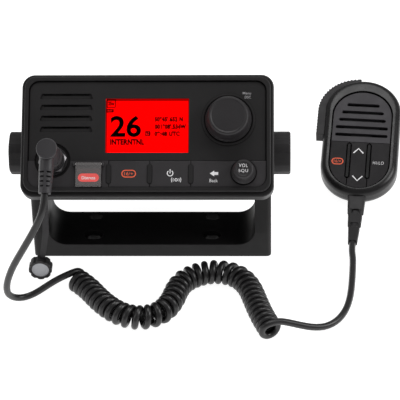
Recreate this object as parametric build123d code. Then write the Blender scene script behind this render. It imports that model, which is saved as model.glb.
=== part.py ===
"""Fixed-mount VHF marine radio in its trunnion bracket, with fist microphone and curly cord.

World frame: x to the right, y away from the user, z up. The origin is the middle of the
bracket's underside, and the trunnion axis is straight above it.
Radio frame: the same axes with the radio level and its origin on the trunnion axis.
Microphone frame: x across, y up its length, z out of its front, origin at its lower end.
"""
from build123d import *
import math
import os

os.makedirs("parts", exist_ok=True)

# ------------------------------------------------------------------ driving dimensions (mm)
# stance
TILT = 48.0                 # the face looks up by this much
PIVOT_HEIGHT = 80.0

# front of the radio
FACE_W = 180.0
FACE_H = 88.0
FACE_CORNER = 9.2
FACE_RISE = 5.0             # middle of the face above the trunnion axis
FACE_AHEAD = 42.0           # rim plane ahead of the trunnion axis
RIM = 5.2                   # rim width seen from the front
PANEL_RECESS = 1.4
PANEL_CORNER = 7.6
BEZEL_INSET = 2.2           # bezel edge inside the frame edge
BEZEL_DEPTH = 3.5
FRAME_DEPTH = 12.5
FRAME_CHIN = 1.0            # frame edge below the face at its lower side
FRAME_WALL = 4.0
GASKET = 1.2

# key band
BAND_H = 19.3
BAND_POCKET = 3.0           # pocket depth behind the rim plane
BAND_FLOOR = 2.0
BAND_PROUD = 0.6            # key tops ahead of the panel
KEY_LIFT = 0.7              # key underside above the pocket floor
KEY_TRAVEL = 0.5
KEY_GAP = 0.2               # clearance round a key
RIDGE_X = (-27.0, 2.1, 31.2)
RIDGE_W = 3.2
RIDGE_L = 13.8
STEM_R = 2.2
STEM_GAP = 0.3

# display
SCREEN_W = 59.2
SCREEN_H = 39.6
SCREEN_Z = 11.2
WINDOW_BORDER = 3.5
WINDOW_T = 1.2
LCD_T = 4.0

# speaker
SPEAKER_X = -57.9
SPEAKER_Z = 20.4
SPEAKER_R = 21.3
SLOT_W = 38.5
SLOT_H = 4.1
SLOT_PITCH = 8.0
SLOT_COUNT = 4
SLOT_POCKET = 1.1           # depth of each slot's floor behind the panel
SLOT_OPEN = 1.3             # height of the opening along each slot's upper edge

# channel knob and volume knob
CHANNEL_X = 57.7
CHANNEL_Z = 15.3
CHANNEL_R = 16.4
CHANNEL_CAP_R = 14.2
CHANNEL_H = 14.0
COLLAR_R = 18.7
COLLAR_W = 1.3
VOLUME_X = 68.5
VOLUME_Z = -23.0
VOLUME_R = 8.6
VOLUME_CAP_R = 6.9
VOLUME_H = 13.0
SHAFT_R = 3.0
SHAFT_FIT = 0.06            # radial play of a knob on its shaft
PUSH_TRAVEL = 0.6

# distress flap
FLAP_X = -41.2
FLAP_W = 18.4
FLAP_H = 17.4
FLAP_T = 0.9
FLAP_PROUD = 2.2            # front of the flap ahead of the band
FLAP_PIN_R = 0.6
DISTRESS_W = 16.0
DISTRESS_H = 11.0
DISTRESS_TRAVEL = 0.8

# microphone socket, plug and dust cap
SOCKET_X = -67.0
SOCKET_Z = -14.3
SOCKET_DISH_R = 12.75
SOCKET_R = 7.9
NUT_AF = 17.8
NUT_T = 2.8
SPIGOT_R = 5.9
RING_R = 8.2
RING_BORE = 5.98
ELBOW_R = 7.35
ELBOW_REACH = 39.5          # elbow end ahead of the rim plane
NECK_R = 5.2
RELIEF_L = 16.5
RELIEF_TIP_R = 4.4
PLUG_TURN = 2.6             # the plug leans a little towards the left
STRAP_X = SOCKET_X - 5.0
STRAP_NOTCH_Z = SOCKET_Z - 14.6   # lower end of the strap's notch in the dish's edge
STRAP_W = 4.2
STRAP_T = 1.2
CAP_R = 8.4
CAP_BORE = 6.3
CAP_L = 7.0
SEAL_IN = 0.6               # seal behind the cap's mouth
CAP_LOBES = 8

# rear chassis
CHASSIS_W = 148.0
CHASSIS_TOP = 41.0
CHASSIS_BOTTOM = 32.0       # below the trunnion axis, at the front
TAIL = 70.0                 # rear face behind the trunnion axis
TAIL_TOP = 35.0
TAIL_BOTTOM = 20.0          # below the trunnion axis, at the rear face
CHASSIS_WALL = 3.5
FIN_COUNT = 13
FIN_PITCH = 9.6
FIN_SLOT = 5.0
FIN_DEPTH = 14.0
FLANGE_W = 168.0
FLANGE_H = 76.0
FLANGE_T = 3.0

# bracket and clamps
BRACKET_D = 40.0
BRACKET_BASE_T = 11.0
BRACKET_ARM = 12.0
ARM_GAP = 2.0               # room for a washer between the housing and each arm
BRACKET_W = CHASSIS_W + 2 * (ARM_GAP + BRACKET_ARM)
BRACKET_HEAD_R = 16.0
BRACKET_FILLET = 13.0
BRACKET_SHELL = 3.0
BRACKET_EDGE = 3.5
MOUNT_X = 88.0              # bolt slot spacing across
MOUNT_Y = 22.0              # bolt slot spacing front to back
MOUNT_SHIFT = 3.0           # slot pattern behind the middle
SLOT_LEN = 10.0
SLOT_HALF = 3.1
KNOB_R = 15.6
KNOB_FLAT = 14.9
KNOB_T = 13.9
KNOB_SEAT = 0.1
STUD_R = 3.0
STUD_REACH = 12.0           # thread inside the chassis wall and boss
STUD_PLAY = 0.06
ARM_HOLE_R = 3.3
WASHER_PLAY = 0.05

# cord
CORD_R = 2.5
COIL_R = 9.1

# microphone
MIC_W = 59.0
MIC_L = 108.0
MIC_SPLIT = 12.0            # front shell depth
MIC_THIN = 17.0             # depth of the lower end
MIC_THICK = 39.0            # depth of the upper end
MIC_FRONT_ROUND = 5.2
MIC_REAR_ROUND = 10.0
MIC_WALL = 3.0
MIC_LEAN = 20.0
MIC_X = 152.7
MIC_Y = 37.6
MIC_TURN = -5.3
MIC_PANEL_W = 47.0
MIC_PANEL_FOOT = 5.3        # shell below the panel
MIC_PANEL_HEAD = 11.7       # shell above the panel
MIC_PANEL_L = MIC_L - MIC_PANEL_FOOT - MIC_PANEL_HEAD
MIC_PANEL_Y = MIC_PANEL_FOOT + MIC_PANEL_L / 2
MIC_PANEL_DEPTH = 1.0
MIC_GROOVE = 1.0            # groove round the panel
MIC_KEYS_L = 42.9
MIC_DIVIDERS = (-8.5, 6.9)
MIC_DIVIDER_L = 31.0
MIC_DIVIDER_W = 2.2
MIC_DIVIDER_GAP = 0.9
MIC_SLOTS = (40.5, 40.5, 36.3, 32.4, 25.3)   # slot lengths, from the lowest up
MIC_SLOT_H = 2.9
MIC_SLOT_PITCH = 7.1
MIC_PIVOT_R = 0.8           # rib on which the rocker tilts
MIC_KEY_TRAVEL = 0.4
PTT_PROUD = 5.6             # lever ahead of the shells at the side
PTT_RISE = 1.5              # lever ahead of the shells at the top
PTT_DEPTH = 10.0
PTT_ARC_TEETH = 17
PTT_SIDE_TEETH = 7
PTT_TRAVEL = 2.4
STUD_HEAD_R = 7.0

# ------------------------------------------------------------------ derived places
Y_RIM = -FACE_AHEAD
Y_PANEL = Y_RIM + PANEL_RECESS
Y_BEZEL_BACK = Y_RIM + BEZEL_DEPTH
Y_FRAME_BACK = Y_BEZEL_BACK + FRAME_DEPTH
Y_FLANGE = Y_FRAME_BACK + GASKET
Y_BAND = Y_PANEL - BAND_PROUD
Y_POCKET = Y_RIM + BAND_POCKET
Y_FLOOR_BACK = Y_POCKET + BAND_FLOOR
PANEL_W = FACE_W - 2 * RIM
PANEL_H = FACE_H - 2 * RIM
PANEL_BOTTOM = FACE_RISE - PANEL_H / 2
BAND_TOP = PANEL_BOTTOM + BAND_H
Y_BOARD = Y_BEZEL_BACK + 5.1
BOARD_T = 1.6
RADIO = Location((0, 0, PIVOT_HEIGHT), (-TILT, 0, 0))


# ------------------------------------------------------------------ helpers
def upright(y):
    """Plane facing the user at depth y, with x across and z up."""
    return Plane(origin=(0, y, 0), x_dir=(1, 0, 0), z_dir=(0, -1, 0))


def prism(sketch, y_front, y_back):
    """Solid of an upright sketch between two depths."""
    return extrude(upright(y_back) * sketch, amount=y_back - y_front)


def disc(x, z, radius, y_front, y_back):
    return prism(Pos(x, z) * Circle(radius), y_front, y_back)


def ring(x, z, outer, inner, y_front, y_back):
    return prism(Pos(x, z) * (Circle(outer) - Circle(inner)), y_front, y_back)


def turned(profile, x, z):
    """Body of revolution about the front-to-back axis; profile gives (radius, y)."""
    face = make_face(Polyline(*profile, close=True))
    return Pos(x, 0, z) * revolve(face, axis=Axis.Y)


def side_prism(points, half_width):
    """Solid of a side view, points (y, z), between -half_width and half_width in x."""
    face = make_face(Plane.YZ * Polyline(*points, close=True))
    return extrude(face, amount=half_width, both=True)


def panel_outline(shrink=0.0):
    outline = RectangleRounded(PANEL_W - 2 * shrink, PANEL_H - 2 * shrink, PANEL_CORNER - shrink)
    return Pos(0, FACE_RISE) * outline


def tube(points, radius):
    """Round tube along straight runs and tangent arcs, as large as the runs allow."""
    places = [Vector(*p) for p in points]
    runs = [b - a for a, b in zip(places, places[1:])]
    radii = []
    for before, after in zip(runs, runs[1:]):
        turn = math.radians(before.get_angle(after))
        radii.append(0.45 * min(before.length, after.length) / math.tan(turn / 2))
    path = FilletPolyline(*places, radius=radii)
    section = Plane(origin=places[0], z_dir=runs[0]) * Circle(radius)
    body = sweep(section, path=path)
    print("radii", [round(r) for r in radii], "length", round(path.length, 1),
          "volume ratio", round(body.volume / (math.pi * radius ** 2 * path.length), 4))
    return body


PARTS = {}


def keep(name, shape, place=None):
    PARTS[name] = shape if place is None else place * shape


# ------------------------------------------------------------------ radio front
def band_region(x_low, x_high, gap):
    """Part of the key band between two x places, clear of the pocket and its neighbours."""
    window = Pos((x_low + x_high) / 2, BAND_TOP - BAND_H / 2) * Rectangle(x_high - x_low, BAND_H - 2 * gap)
    return panel_outline(gap) & window


def ridge_outline(x, grow=0.0):
    return Pos(x, BAND_TOP - BAND_H / 2) * SlotOverall(RIDGE_L + 2 * grow, RIDGE_W + 2 * grow, rotation=90)


def speaker_slot(z):
    """One opening of the grille, a little longer along its lower edge."""
    shape = Trapezoid(SLOT_W, SLOT_H, 68)
    shape = fillet(shape.vertices(), 1.0)
    return Pos(SPEAKER_X, z) * shape


def slot_places():
    middle = (SLOT_COUNT - 1) / 2
    return [SPEAKER_Z + (i - middle) * SLOT_PITCH for i in range(SLOT_COUNT)]


KEYS = {
    "key_16": (RIDGE_X[0], RIDGE_X[1]),
    "key_power": (RIDGE_X[1], RIDGE_X[2]),
    "key_back": (RIDGE_X[2], PANEL_W / 2 + KEY_GAP),
}
STEMS = {
    "key_16": (RIDGE_X[0] + RIDGE_X[1]) / 2,
    "key_power": (RIDGE_X[1] + RIDGE_X[2]) / 2,
    "key_back": RIDGE_X[2] + (RIDGE_X[1] - RIDGE_X[0]) / 2,
}
BAND_Z = BAND_TOP - BAND_H / 2
DISTRESS_Z = BAND_Z - 1.6
FLAP_TOP = BAND_TOP - 1.6
FLAP_PIN_Y = Y_BAND - 0.9
FLAP_PIN_Z = FLAP_TOP - 1.1


def front_bezel():
    body = prism(Pos(0, FACE_RISE) * RectangleRounded(FACE_W - 2 * BEZEL_INSET, FACE_H - 2 * BEZEL_INSET,
                                                     FACE_CORNER - BEZEL_INSET / 2), Y_RIM, Y_BEZEL_BACK)
    body = fillet(body.faces().sort_by(Axis.Y)[0].edges(), 1.1)
    # floor of the key band pocket and of the socket dish, behind the front plate
    body += prism(band_region(-PANEL_W / 2, PANEL_W / 2, 0.0), Y_BEZEL_BACK - 0.5, Y_FLOOR_BACK)
    body += disc(SOCKET_X, SOCKET_Z, SOCKET_DISH_R + 1.5, Y_BEZEL_BACK - 0.5, Y_FLOOR_BACK)
    body -= prism(panel_outline(), Y_RIM - 1, Y_PANEL)
    body -= prism(band_region(-PANEL_W / 2, PANEL_W / 2, 0.0), Y_RIM - 1, Y_POCKET)
    body -= disc(SOCKET_X, SOCKET_Z, SOCKET_DISH_R, Y_RIM - 1, Y_POCKET)
    groove = panel_outline() - panel_outline(0.9)
    body -= prism(groove, Y_RIM - 1, Y_PANEL + 0.9)
    # display seat and opening
    body -= prism(Pos(0, SCREEN_Z) * Rectangle(SCREEN_W + 2 * WINDOW_BORDER, SCREEN_H + 2 * WINDOW_BORDER),
                  Y_RIM - 1, Y_PANEL + WINDOW_T)
    body -= prism(Pos(0, SCREEN_Z) * Rectangle(SCREEN_W + 1.6, SCREEN_H + 1.6), Y_RIM, Y_FLOOR_BACK)
    # grille slots, key stems, shafts and socket
    for z in slot_places():
        body -= prism(speaker_slot(z), Y_RIM, Y_PANEL + SLOT_POCKET)
        opening = Pos(SPEAKER_X, z + SLOT_H / 2 - SLOT_OPEN / 2) * Rectangle(SLOT_W - 6, SLOT_OPEN)
        body -= prism(opening, Y_RIM, Y_BEZEL_BACK + 1)
    for x in STEMS.values():
        body -= disc(x, BAND_Z, STEM_R + STEM_GAP, Y_POCKET - 1, Y_FLOOR_BACK + 1)
    body -= disc(CHANNEL_X, CHANNEL_Z, 4.6, Y_RIM, Y_FLOOR_BACK + 1)
    body -= disc(VOLUME_X, VOLUME_Z, 4.6, Y_RIM, Y_FLOOR_BACK + 1)
    body -= disc(SOCKET_X, SOCKET_Z, SOCKET_R + 0.15, Y_RIM, Y_FLOOR_BACK + 1)
    body -= prism(Pos(FLAP_X, DISTRESS_Z) * Rectangle(6, 6), Y_POCKET - 1, Y_FLOOR_BACK + 1)
    # raised collar round the channel knob, ridges between the keys
    body += ring(CHANNEL_X, CHANNEL_Z, COLLAR_R, COLLAR_R - COLLAR_W, Y_PANEL - 1.2, Y_PANEL + 0.5)
    for x in RIDGE_X:
        body += prism(ridge_outline(x), Y_BAND - 0.5, Y_POCKET + 0.5)
    # posts for the front board
    for x, z in board_posts():
        body += disc(x, z, 2.6, Y_BEZEL_BACK - 0.5, Y_BOARD)
    return body


def board_posts():
    return [(-25.0, 40.0), (38.0, 40.5), (79.0, 40.0), (82.0, -7.0)]


def front_frame():
    face = Pos(0, FACE_RISE - FRAME_CHIN / 2) * RectangleRounded(FACE_W, FACE_H + FRAME_CHIN, FACE_CORNER)
    outer = prism(face, Y_BEZEL_BACK, Y_FRAME_BACK)
    outer = fillet(outer.faces().sort_by(Axis.Y)[0].edges(), 1.4)
    outer = chamfer(outer.faces().sort_by(Axis.Y)[-1].edges(), 0.7)
    hole = Pos(0, FACE_RISE) * RectangleRounded(FACE_W - 2 * FRAME_WALL, FACE_H - 2 * FRAME_WALL, 5.2)
    outer -= prism(hole, Y_BEZEL_BACK - 1, Y_FRAME_BACK - 3)
    outer -= prism(Pos(0, FACE_RISE) * RectangleRounded(146, 64, 4), Y_FRAME_BACK - 4, Y_FRAME_BACK + 1)
    for x, z in flange_screw_places():
        outer -= disc(x, z, 2.0, Y_FRAME_BACK - 2.4, Y_FRAME_BACK + 1)
    return outer


def front_gasket():
    outline = RectangleRounded(FLANGE_W, FLANGE_H, 6.0) - RectangleRounded(146, 64, 4.0)
    seal = prism(Pos(0, FACE_RISE) * outline, Y_FRAME_BACK, Y_FLANGE)
    for x, z in flange_screw_places():
        seal -= disc(x, z, 2.0, Y_FRAME_BACK - 1, Y_FLANGE + 1)
    return seal


def band_panel_left():
    piece = prism(band_region(-PANEL_W / 2, RIDGE_X[0] - KEY_GAP, 0.1), Y_BAND, Y_POCKET)
    piece -= prism(ridge_outline(RIDGE_X[0], KEY_GAP), Y_BAND - 1, Y_POCKET + 1)
    piece -= disc(SOCKET_X, SOCKET_Z, SOCKET_DISH_R, Y_BAND - 1, Y_POCKET + 1)
    opening = Pos(FLAP_X, FLAP_TOP + 0.6 - 15) * Rectangle(FLAP_W + 2 * KEY_GAP, 30)
    piece -= prism(opening, Y_BAND - 1, Y_POCKET + 1)
    piece -= prism(Pos(STRAP_X, STRAP_NOTCH_Z + 4) * Rectangle(STRAP_W + 0.8, 8), Y_BAND - 1, Y_POCKET + 1)
    # lugs that carry the flap's pin
    for side in (-1, 1):
        lug = Pos(FLAP_PIN_Y, FLAP_PIN_Z) * Circle(1.3)
        lug += Pos(FLAP_PIN_Y + 1.5, FLAP_PIN_Z) * Rectangle(3.0, 2.6)
        lug_x = FLAP_X + side * (FLAP_W / 2 + KEY_GAP)
        piece += Pos(lug_x + side * 0.8, 0, 0) * extrude(Plane.YZ * lug, amount=0.8, both=True)
    pin_hole = Plane.YZ * Pos(FLAP_PIN_Y, FLAP_PIN_Z) * Circle(FLAP_PIN_R)
    piece -= Pos(FLAP_X, 0, 0) * extrude(pin_hole, amount=FLAP_W, both=True)
    return piece


def key(name):
    """Key cap with its stem; its ends are notched round the ridges."""
    x_low, x_high = KEYS[name]
    cap = prism(band_region(x_low + KEY_GAP, x_high - KEY_GAP, KEY_GAP), Y_BAND, Y_POCKET - KEY_LIFT)
    cap = fillet(cap.faces().sort_by(Axis.Y)[0].edges(), 0.4)
    for x in RIDGE_X:
        cap -= prism(ridge_outline(x, KEY_GAP), Y_BAND - 1, Y_POCKET + 1)
    if name == "key_back":
        cap -= disc(VOLUME_X, VOLUME_Z, VOLUME_R + 0.7, Y_BAND - 1, Y_POCKET + 1)
    return cap + disc(STEMS[name], BAND_Z, STEM_R, Y_POCKET - KEY_LIFT - 0.2, Y_BOARD - 0.9 - KEY_TRAVEL)


def key_switches():
    """Tact switches on the front board, one behind each key and one behind the distress button."""
    pads = [prism(Pos(x, BAND_Z) * Rectangle(5, 5), Y_BOARD - 0.8, Y_BOARD) for x in STEMS.values()]
    pads.append(prism(Pos(FLAP_X, DISTRESS_Z) * Rectangle(6, 6), Y_BOARD - 0.9, Y_BOARD))
    return Compound(children=pads)


def display_window():
    pane = Rectangle(SCREEN_W + 2 * WINDOW_BORDER - 0.2, SCREEN_H + 2 * WINDOW_BORDER - 0.2)
    return prism(Pos(0, SCREEN_Z) * pane, Y_PANEL, Y_PANEL + WINDOW_T)


def display_gasket():
    foam = Rectangle(SCREEN_W + 4, SCREEN_H + 4) - Rectangle(SCREEN_W + 1, SCREEN_H + 1)
    return prism(Pos(0, SCREEN_Z) * foam, Y_BEZEL_BACK, Y_BOARD - LCD_T)


def lcd_module():
    return prism(Pos(0, SCREEN_Z) * Rectangle(SCREEN_W + 4, SCREEN_H + 4), Y_BOARD - LCD_T, Y_BOARD)


def front_board():
    outline = Pos(28.5, FACE_RISE) * RectangleRounded(112, 74, 4) + Pos(-36, -23) * Rectangle(28, 18)
    board = prism(outline, Y_BOARD, Y_BOARD + BOARD_T)
    for x, z in board_posts():
        board -= disc(x, z, 1.2, Y_BOARD - 1, Y_BOARD + BOARD_T + 1)
    return board


def speaker_frame():
    """Basket, rim and magnet, pressed against the back of the grille."""
    profile = [(SPEAKER_R - 3, Y_BEZEL_BACK), (SPEAKER_R, Y_BEZEL_BACK), (SPEAKER_R, Y_BEZEL_BACK + 2),
               (SPEAKER_R - 4, Y_BEZEL_BACK + 3), (11.5, Y_BEZEL_BACK + 12), (11.5, Y_BEZEL_BACK + 22),
               (0, Y_BEZEL_BACK + 22), (0, Y_BEZEL_BACK + 13), (9, Y_BEZEL_BACK + 11.2),
               (SPEAKER_R - 5.2, Y_BEZEL_BACK + 2.4), (SPEAKER_R - 3, Y_BEZEL_BACK + 1.6)]
    return turned(profile, SPEAKER_X, SPEAKER_Z)


def speaker_cone():
    """Cone with its roll surround and centre dome, seated on the basket's rim and magnet."""
    profile = [(SPEAKER_R - 3, Y_BEZEL_BACK + 1.5), (SPEAKER_R - 3, Y_BEZEL_BACK + 0.9),
               (SPEAKER_R - 5, Y_BEZEL_BACK + 0.4), (SPEAKER_R - 7, Y_BEZEL_BACK + 1.4),
               (7.5, Y_BEZEL_BACK + 8.4), (4, Y_BEZEL_BACK + 6.9), (0, Y_BEZEL_BACK + 6.4),
               (0, Y_BEZEL_BACK + 12.9), (8.6, Y_BEZEL_BACK + 11), (SPEAKER_R - 5.6, Y_BEZEL_BACK + 2.2)]
    return turned(profile, SPEAKER_X, SPEAKER_Z)


# ------------------------------------------------------------------ knobs
def push_knob(x, z, base_r, cap_r, height, y_seat, dish):
    """Hollow turned knob with a hub that fits its push shaft."""
    top = y_seat - height
    y_base = y_seat - PUSH_TRAVEL - 0.3
    hub = SHAFT_R + 1.3
    inner = cap_r - 1.6
    outer = [(0, top + dish), (cap_r - 2.6, top + dish), (cap_r - 1.6, top), (cap_r - 0.7, top + 0.2),
             (cap_r, top + 1.0), (base_r - 0.6, y_base - 2.4), (base_r, y_base - 1.6), (base_r, y_base)]
    under = [(base_r - 1.6, y_base), (inner, top + 2.8), (hub, top + 2.8), (hub, y_base - 2.6),
             (SHAFT_R + SHAFT_FIT, y_base - 2.6), (SHAFT_R + SHAFT_FIT, top + 2.0), (0, top + 2.0)]
    return turned(outer + under, x, z)


def channel_knob():
    knob = push_knob(CHANNEL_X, CHANNEL_Z, CHANNEL_R, CHANNEL_CAP_R, CHANNEL_H, Y_PANEL, 0.5)
    flutes = 28
    for i in range(flutes):
        turn = 360 * i / flutes
        groove = Pos(CHANNEL_R + 0.35, 0, 0) * Cylinder(0.75, 8, rotation=(90, 0, 0))
        groove = Rot(0, turn, 0) * groove
        knob -= Pos(CHANNEL_X, Y_PANEL - 6.5, CHANNEL_Z) * groove
    return knob


def volume_knob():
    return push_knob(VOLUME_X, VOLUME_Z, VOLUME_R, VOLUME_CAP_R, VOLUME_H, Y_BAND, 0.3)


def push_shaft(x, z, height, y_seat):
    """Encoder shaft: the knob turns on it and pushes it in."""
    tip = y_seat - height + 2.3
    return disc(x, z, SHAFT_R, tip, Y_BOARD - PUSH_TRAVEL - 0.6)


def encoder(x, z, y_seat):
    body = prism(Pos(x, z) * RectangleRounded(12.5, 12.5, 1), Y_FLOOR_BACK + 0.1, Y_BOARD)
    body += disc(x, z, 4.4, y_seat - 0.2, Y_FLOOR_BACK + 0.3)
    return body - disc(x, z, SHAFT_R + SHAFT_FIT, y_seat - 2, Y_BOARD - 0.5)


# ------------------------------------------------------------------ distress flap
def distress_cover():
    front = Y_BAND - FLAP_PROUD
    half = FLAP_W / 2
    bottom = FLAP_TOP - FLAP_H
    side = [(front, FLAP_TOP), (front, bottom), (Y_BAND + 0.5, bottom), (Y_BAND + 0.5, bottom + FLAP_T),
            (Y_BAND + 0.5, FLAP_PIN_Z - 1.5), (Y_BAND - 0.2, FLAP_TOP)]
    body = Pos(FLAP_X, 0, 0) * side_prism(side, half - 0.1)
    inner = [(front + FLAP_T, FLAP_PIN_Z - 2.4), (front + FLAP_T, bottom + FLAP_T),
             (Y_BAND + 2, bottom + FLAP_T), (Y_BAND + 2, FLAP_PIN_Z - 2.4)]
    body -= Pos(FLAP_X, 0, 0) * side_prism(inner, half - 0.1 - FLAP_T)
    body = fillet(body.edges().filter_by(Axis.X).sort_by(Axis.Y)[0], 0.5)
    bore = Plane.YZ * Pos(FLAP_PIN_Y, FLAP_PIN_Z) * Circle(FLAP_PIN_R + 0.06)
    return body - Pos(FLAP_X, 0, 0) * extrude(bore, amount=FLAP_W, both=True)


def distress_cover_pin():
    rod = Plane.YZ * Pos(FLAP_PIN_Y, FLAP_PIN_Z) * Circle(FLAP_PIN_R)
    return Pos(FLAP_X, 0, 0) * extrude(rod, amount=FLAP_W / 2 + KEY_GAP + 1.6, both=True)


def distress_button():
    cap = prism(Pos(FLAP_X, DISTRESS_Z) * RectangleRounded(DISTRESS_W, DISTRESS_H, 1.6),
                Y_BAND - 0.7, Y_POCKET - DISTRESS_TRAVEL - 0.1)
    cap = fillet(cap.faces().sort_by(Axis.Y)[0].edges(), 0.5)
    stem = prism(Pos(FLAP_X, DISTRESS_Z) * Rectangle(5.4, 5.4), Y_POCKET - DISTRESS_TRAVEL - 0.3,
                 Y_BOARD - 1.0 - DISTRESS_TRAVEL)
    return cap + stem


# ------------------------------------------------------------------ socket, plug and dust cap
Y_NUT_BACK = Y_POCKET - STRAP_T
Y_NUT = Y_NUT_BACK - NUT_T
Y_SPIGOT = Y_NUT - 6.0
Y_ELBOW = Y_RIM - ELBOW_REACH
Y_NECK = Y_ELBOW + ELBOW_R
NECK_Z = SOCKET_Z - 14.0
RELIEF_END_Z = NECK_Z - RELIEF_L


def mic_socket():
    body = disc(SOCKET_X, SOCKET_Z, SOCKET_R, Y_NUT - 0.6, Y_FLOOR_BACK + 7)
    body += disc(SOCKET_X, SOCKET_Z, SPIGOT_R, Y_SPIGOT, Y_NUT)
    body += disc(SOCKET_X, SOCKET_Z, SOCKET_R + 2.4, Y_FLOOR_BACK, Y_FLOOR_BACK + 2)
    return body


def socket_nut():
    hexagon = RegularPolygon(NUT_AF / 2, 6, major_radius=False, rotation=10)
    nut = prism(Pos(SOCKET_X, SOCKET_Z) * hexagon, Y_NUT, Y_NUT_BACK)
    nut &= turned([(0, Y_NUT_BACK), (0, Y_NUT), (NUT_AF / 2, Y_NUT), (NUT_AF / 2 * 1.16, Y_NUT + 0.9),
                   (NUT_AF / 2 * 1.16, Y_NUT_BACK)], SOCKET_X, SOCKET_Z)
    return nut - disc(SOCKET_X, SOCKET_Z, SOCKET_R, Y_NUT - 1, Y_NUT_BACK + 1)


def plug_coupling_ring():
    back = Y_NUT - 1.6
    front = Y_SPIGOT - 7.0
    profile = [(RING_BORE, back), (RING_R - 0.7, back), (RING_R, back - 0.7), (RING_R, front + 2.4),
               (RING_R - 1.2, front + 1.0), (RING_R - 1.2, front), (RING_BORE, front)]
    body = turned(profile, SOCKET_X, SOCKET_Z)
    flutes = 14
    for i in range(flutes):
        groove = Pos(RING_R + 0.3, 0, 0) * Cylinder(0.8, 5.2, rotation=(90, 0, 0))
        body -= Pos(SOCKET_X, (back + front) / 2 + 0.6, SOCKET_Z) * Rot(0, 360 * i / flutes, 0) * groove
    return body


def plug_body():
    """Right-angle plug: round head, core inside the ring and the neck that goes down."""
    ring_front = Y_SPIGOT - 7.0
    head = disc(SOCKET_X, SOCKET_Z, ELBOW_R, Y_ELBOW, ring_front - 1.4)
    head = fillet(head.faces().sort_by(Axis.Y)[0].edges(), 0.9)
    head += disc(SOCKET_X, SOCKET_Z, ELBOW_R - 1.2, Y_NECK, ring_front - 0.2)
    head += disc(SOCKET_X, SOCKET_Z, SPIGOT_R, Y_NECK, Y_SPIGOT)
    return head + Pos(SOCKET_X, Y_NECK, (SOCKET_Z + NECK_Z) / 2) * Cylinder(NECK_R, SOCKET_Z - NECK_Z)


def plug_relief():
    """Tapered cord relief with four rows of slots, front and back."""
    body = Pos(SOCKET_X, Y_NECK, NECK_Z - RELIEF_L / 2) * Cone(RELIEF_TIP_R, NECK_R, RELIEF_L)
    rows = 4
    for i in range(rows):
        z = NECK_Z - 1.9 - i * 3.3
        for x in (-2.4, 2.4):
            for y in (-NECK_R, NECK_R):
                body -= Pos(SOCKET_X + x, Y_NECK + y, z) * Box(3.0, 4.4, 1.2)
    return body


# the strap leaves its ring under the nut, runs over the rim and hangs from the lower edge
HINGE_Y = Y_RIM - 0.8
HINGE_Z = FACE_RISE - FACE_H / 2 + 1.6
STRAP_DROP = 60.5
CAP_DROP = STRAP_DROP + CAP_R - 1.4
CAP_SIDE = -7.0
HINGE = RADIO * Location((STRAP_X, HINGE_Y, HINGE_Z))
PLUG_SPIN = Location((SOCKET_X, 0, SOCKET_Z)) * Rot(0, PLUG_TURN, 0) * Location((-SOCKET_X, 0, -SOCKET_Z))


def hanging_plane(behind):
    """Upright plane at the strap's hinge, moved back by a distance."""
    start = HINGE.position
    return Plane(origin=(start.X, start.Y + behind, start.Z), x_dir=(1, 0, 0), z_dir=(0, -1, 0))


def dust_cap_strap():
    """Soft strap: ring under the nut, stretch over the band and rim, hanging stretch."""
    loop = ring(SOCKET_X, SOCKET_Z, SOCKET_R + 2.6, SOCKET_R, Y_NUT_BACK, Y_POCKET)
    z_ring = SOCKET_Z - SOCKET_R + 0.6
    skin = [(Y_POCKET, z_ring), (Y_POCKET, z_ring - 3.6), (Y_BAND - 0.1, STRAP_NOTCH_Z + 0.3),
            (Y_RIM - 0.1, PANEL_BOTTOM + 0.6), (Y_RIM - 0.1, HINGE_Z)]
    front = [(y - STRAP_T, z) for y, z in skin]
    over = Pos(STRAP_X, 0, 0) * side_prism(skin + front[::-1], STRAP_W / 2)
    half = STRAP_W / 2
    drop = STRAP_DROP
    outline = Polyline((-half, 0.4), (half, 0.4), (half - 1.2, -0.6 * drop), (half + CAP_SIDE + 1.5, -drop),
                       (-half + CAP_SIDE + 1.5, -drop), (-half - 1.6, -0.6 * drop), close=True)
    hanging = extrude(hanging_plane(STRAP_T / 2) * make_face(outline), amount=STRAP_T)
    knee = Pos(*HINGE.position) * Cylinder(STRAP_T / 2, STRAP_W, rotation=(0, 90, 0))
    return RADIO * (loop + over) + knee + hanging


def cap_place(extra):
    """Upright plane at the back of the cap, in front of which it is built."""
    plane = hanging_plane(CAP_L / 2 - 1.0 - extra)
    plane.origin = plane.origin + Vector(CAP_SIDE, 0, -CAP_DROP)
    return plane


def dust_cap():
    """Scalloped cap that hangs with its mouth towards the user."""
    outline = Circle(CAP_R)
    for i in range(CAP_LOBES):
        turn = math.radians(360 * (i + 0.5) / CAP_LOBES)
        outline -= Pos((CAP_R + 1.5) * math.cos(turn), (CAP_R + 1.5) * math.sin(turn)) * Circle(2.2)
    body = extrude(cap_place(0) * outline, amount=CAP_L)
    body -= extrude(cap_place(1.8) * Circle(CAP_BORE), amount=CAP_L)
    # slit that takes the end of the strap
    return body - dust_cap_strap()


def dust_cap_seal():
    return extrude(cap_place(1.8) * Circle(CAP_BORE), amount=CAP_L - 1.8 - SEAL_IN)


# ------------------------------------------------------------------ rear of the radio
CAVITY_BACK = 34.0


def bottom_z(y):
    """Underside of the chassis at depth y: level at first, then rising to the tail."""
    start = -5.0
    if y <= start:
        return -CHASSIS_BOTTOM
    return -CHASSIS_BOTTOM + (CHASSIS_BOTTOM - TAIL_BOTTOM) * (y - start) / (TAIL - start)


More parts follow.
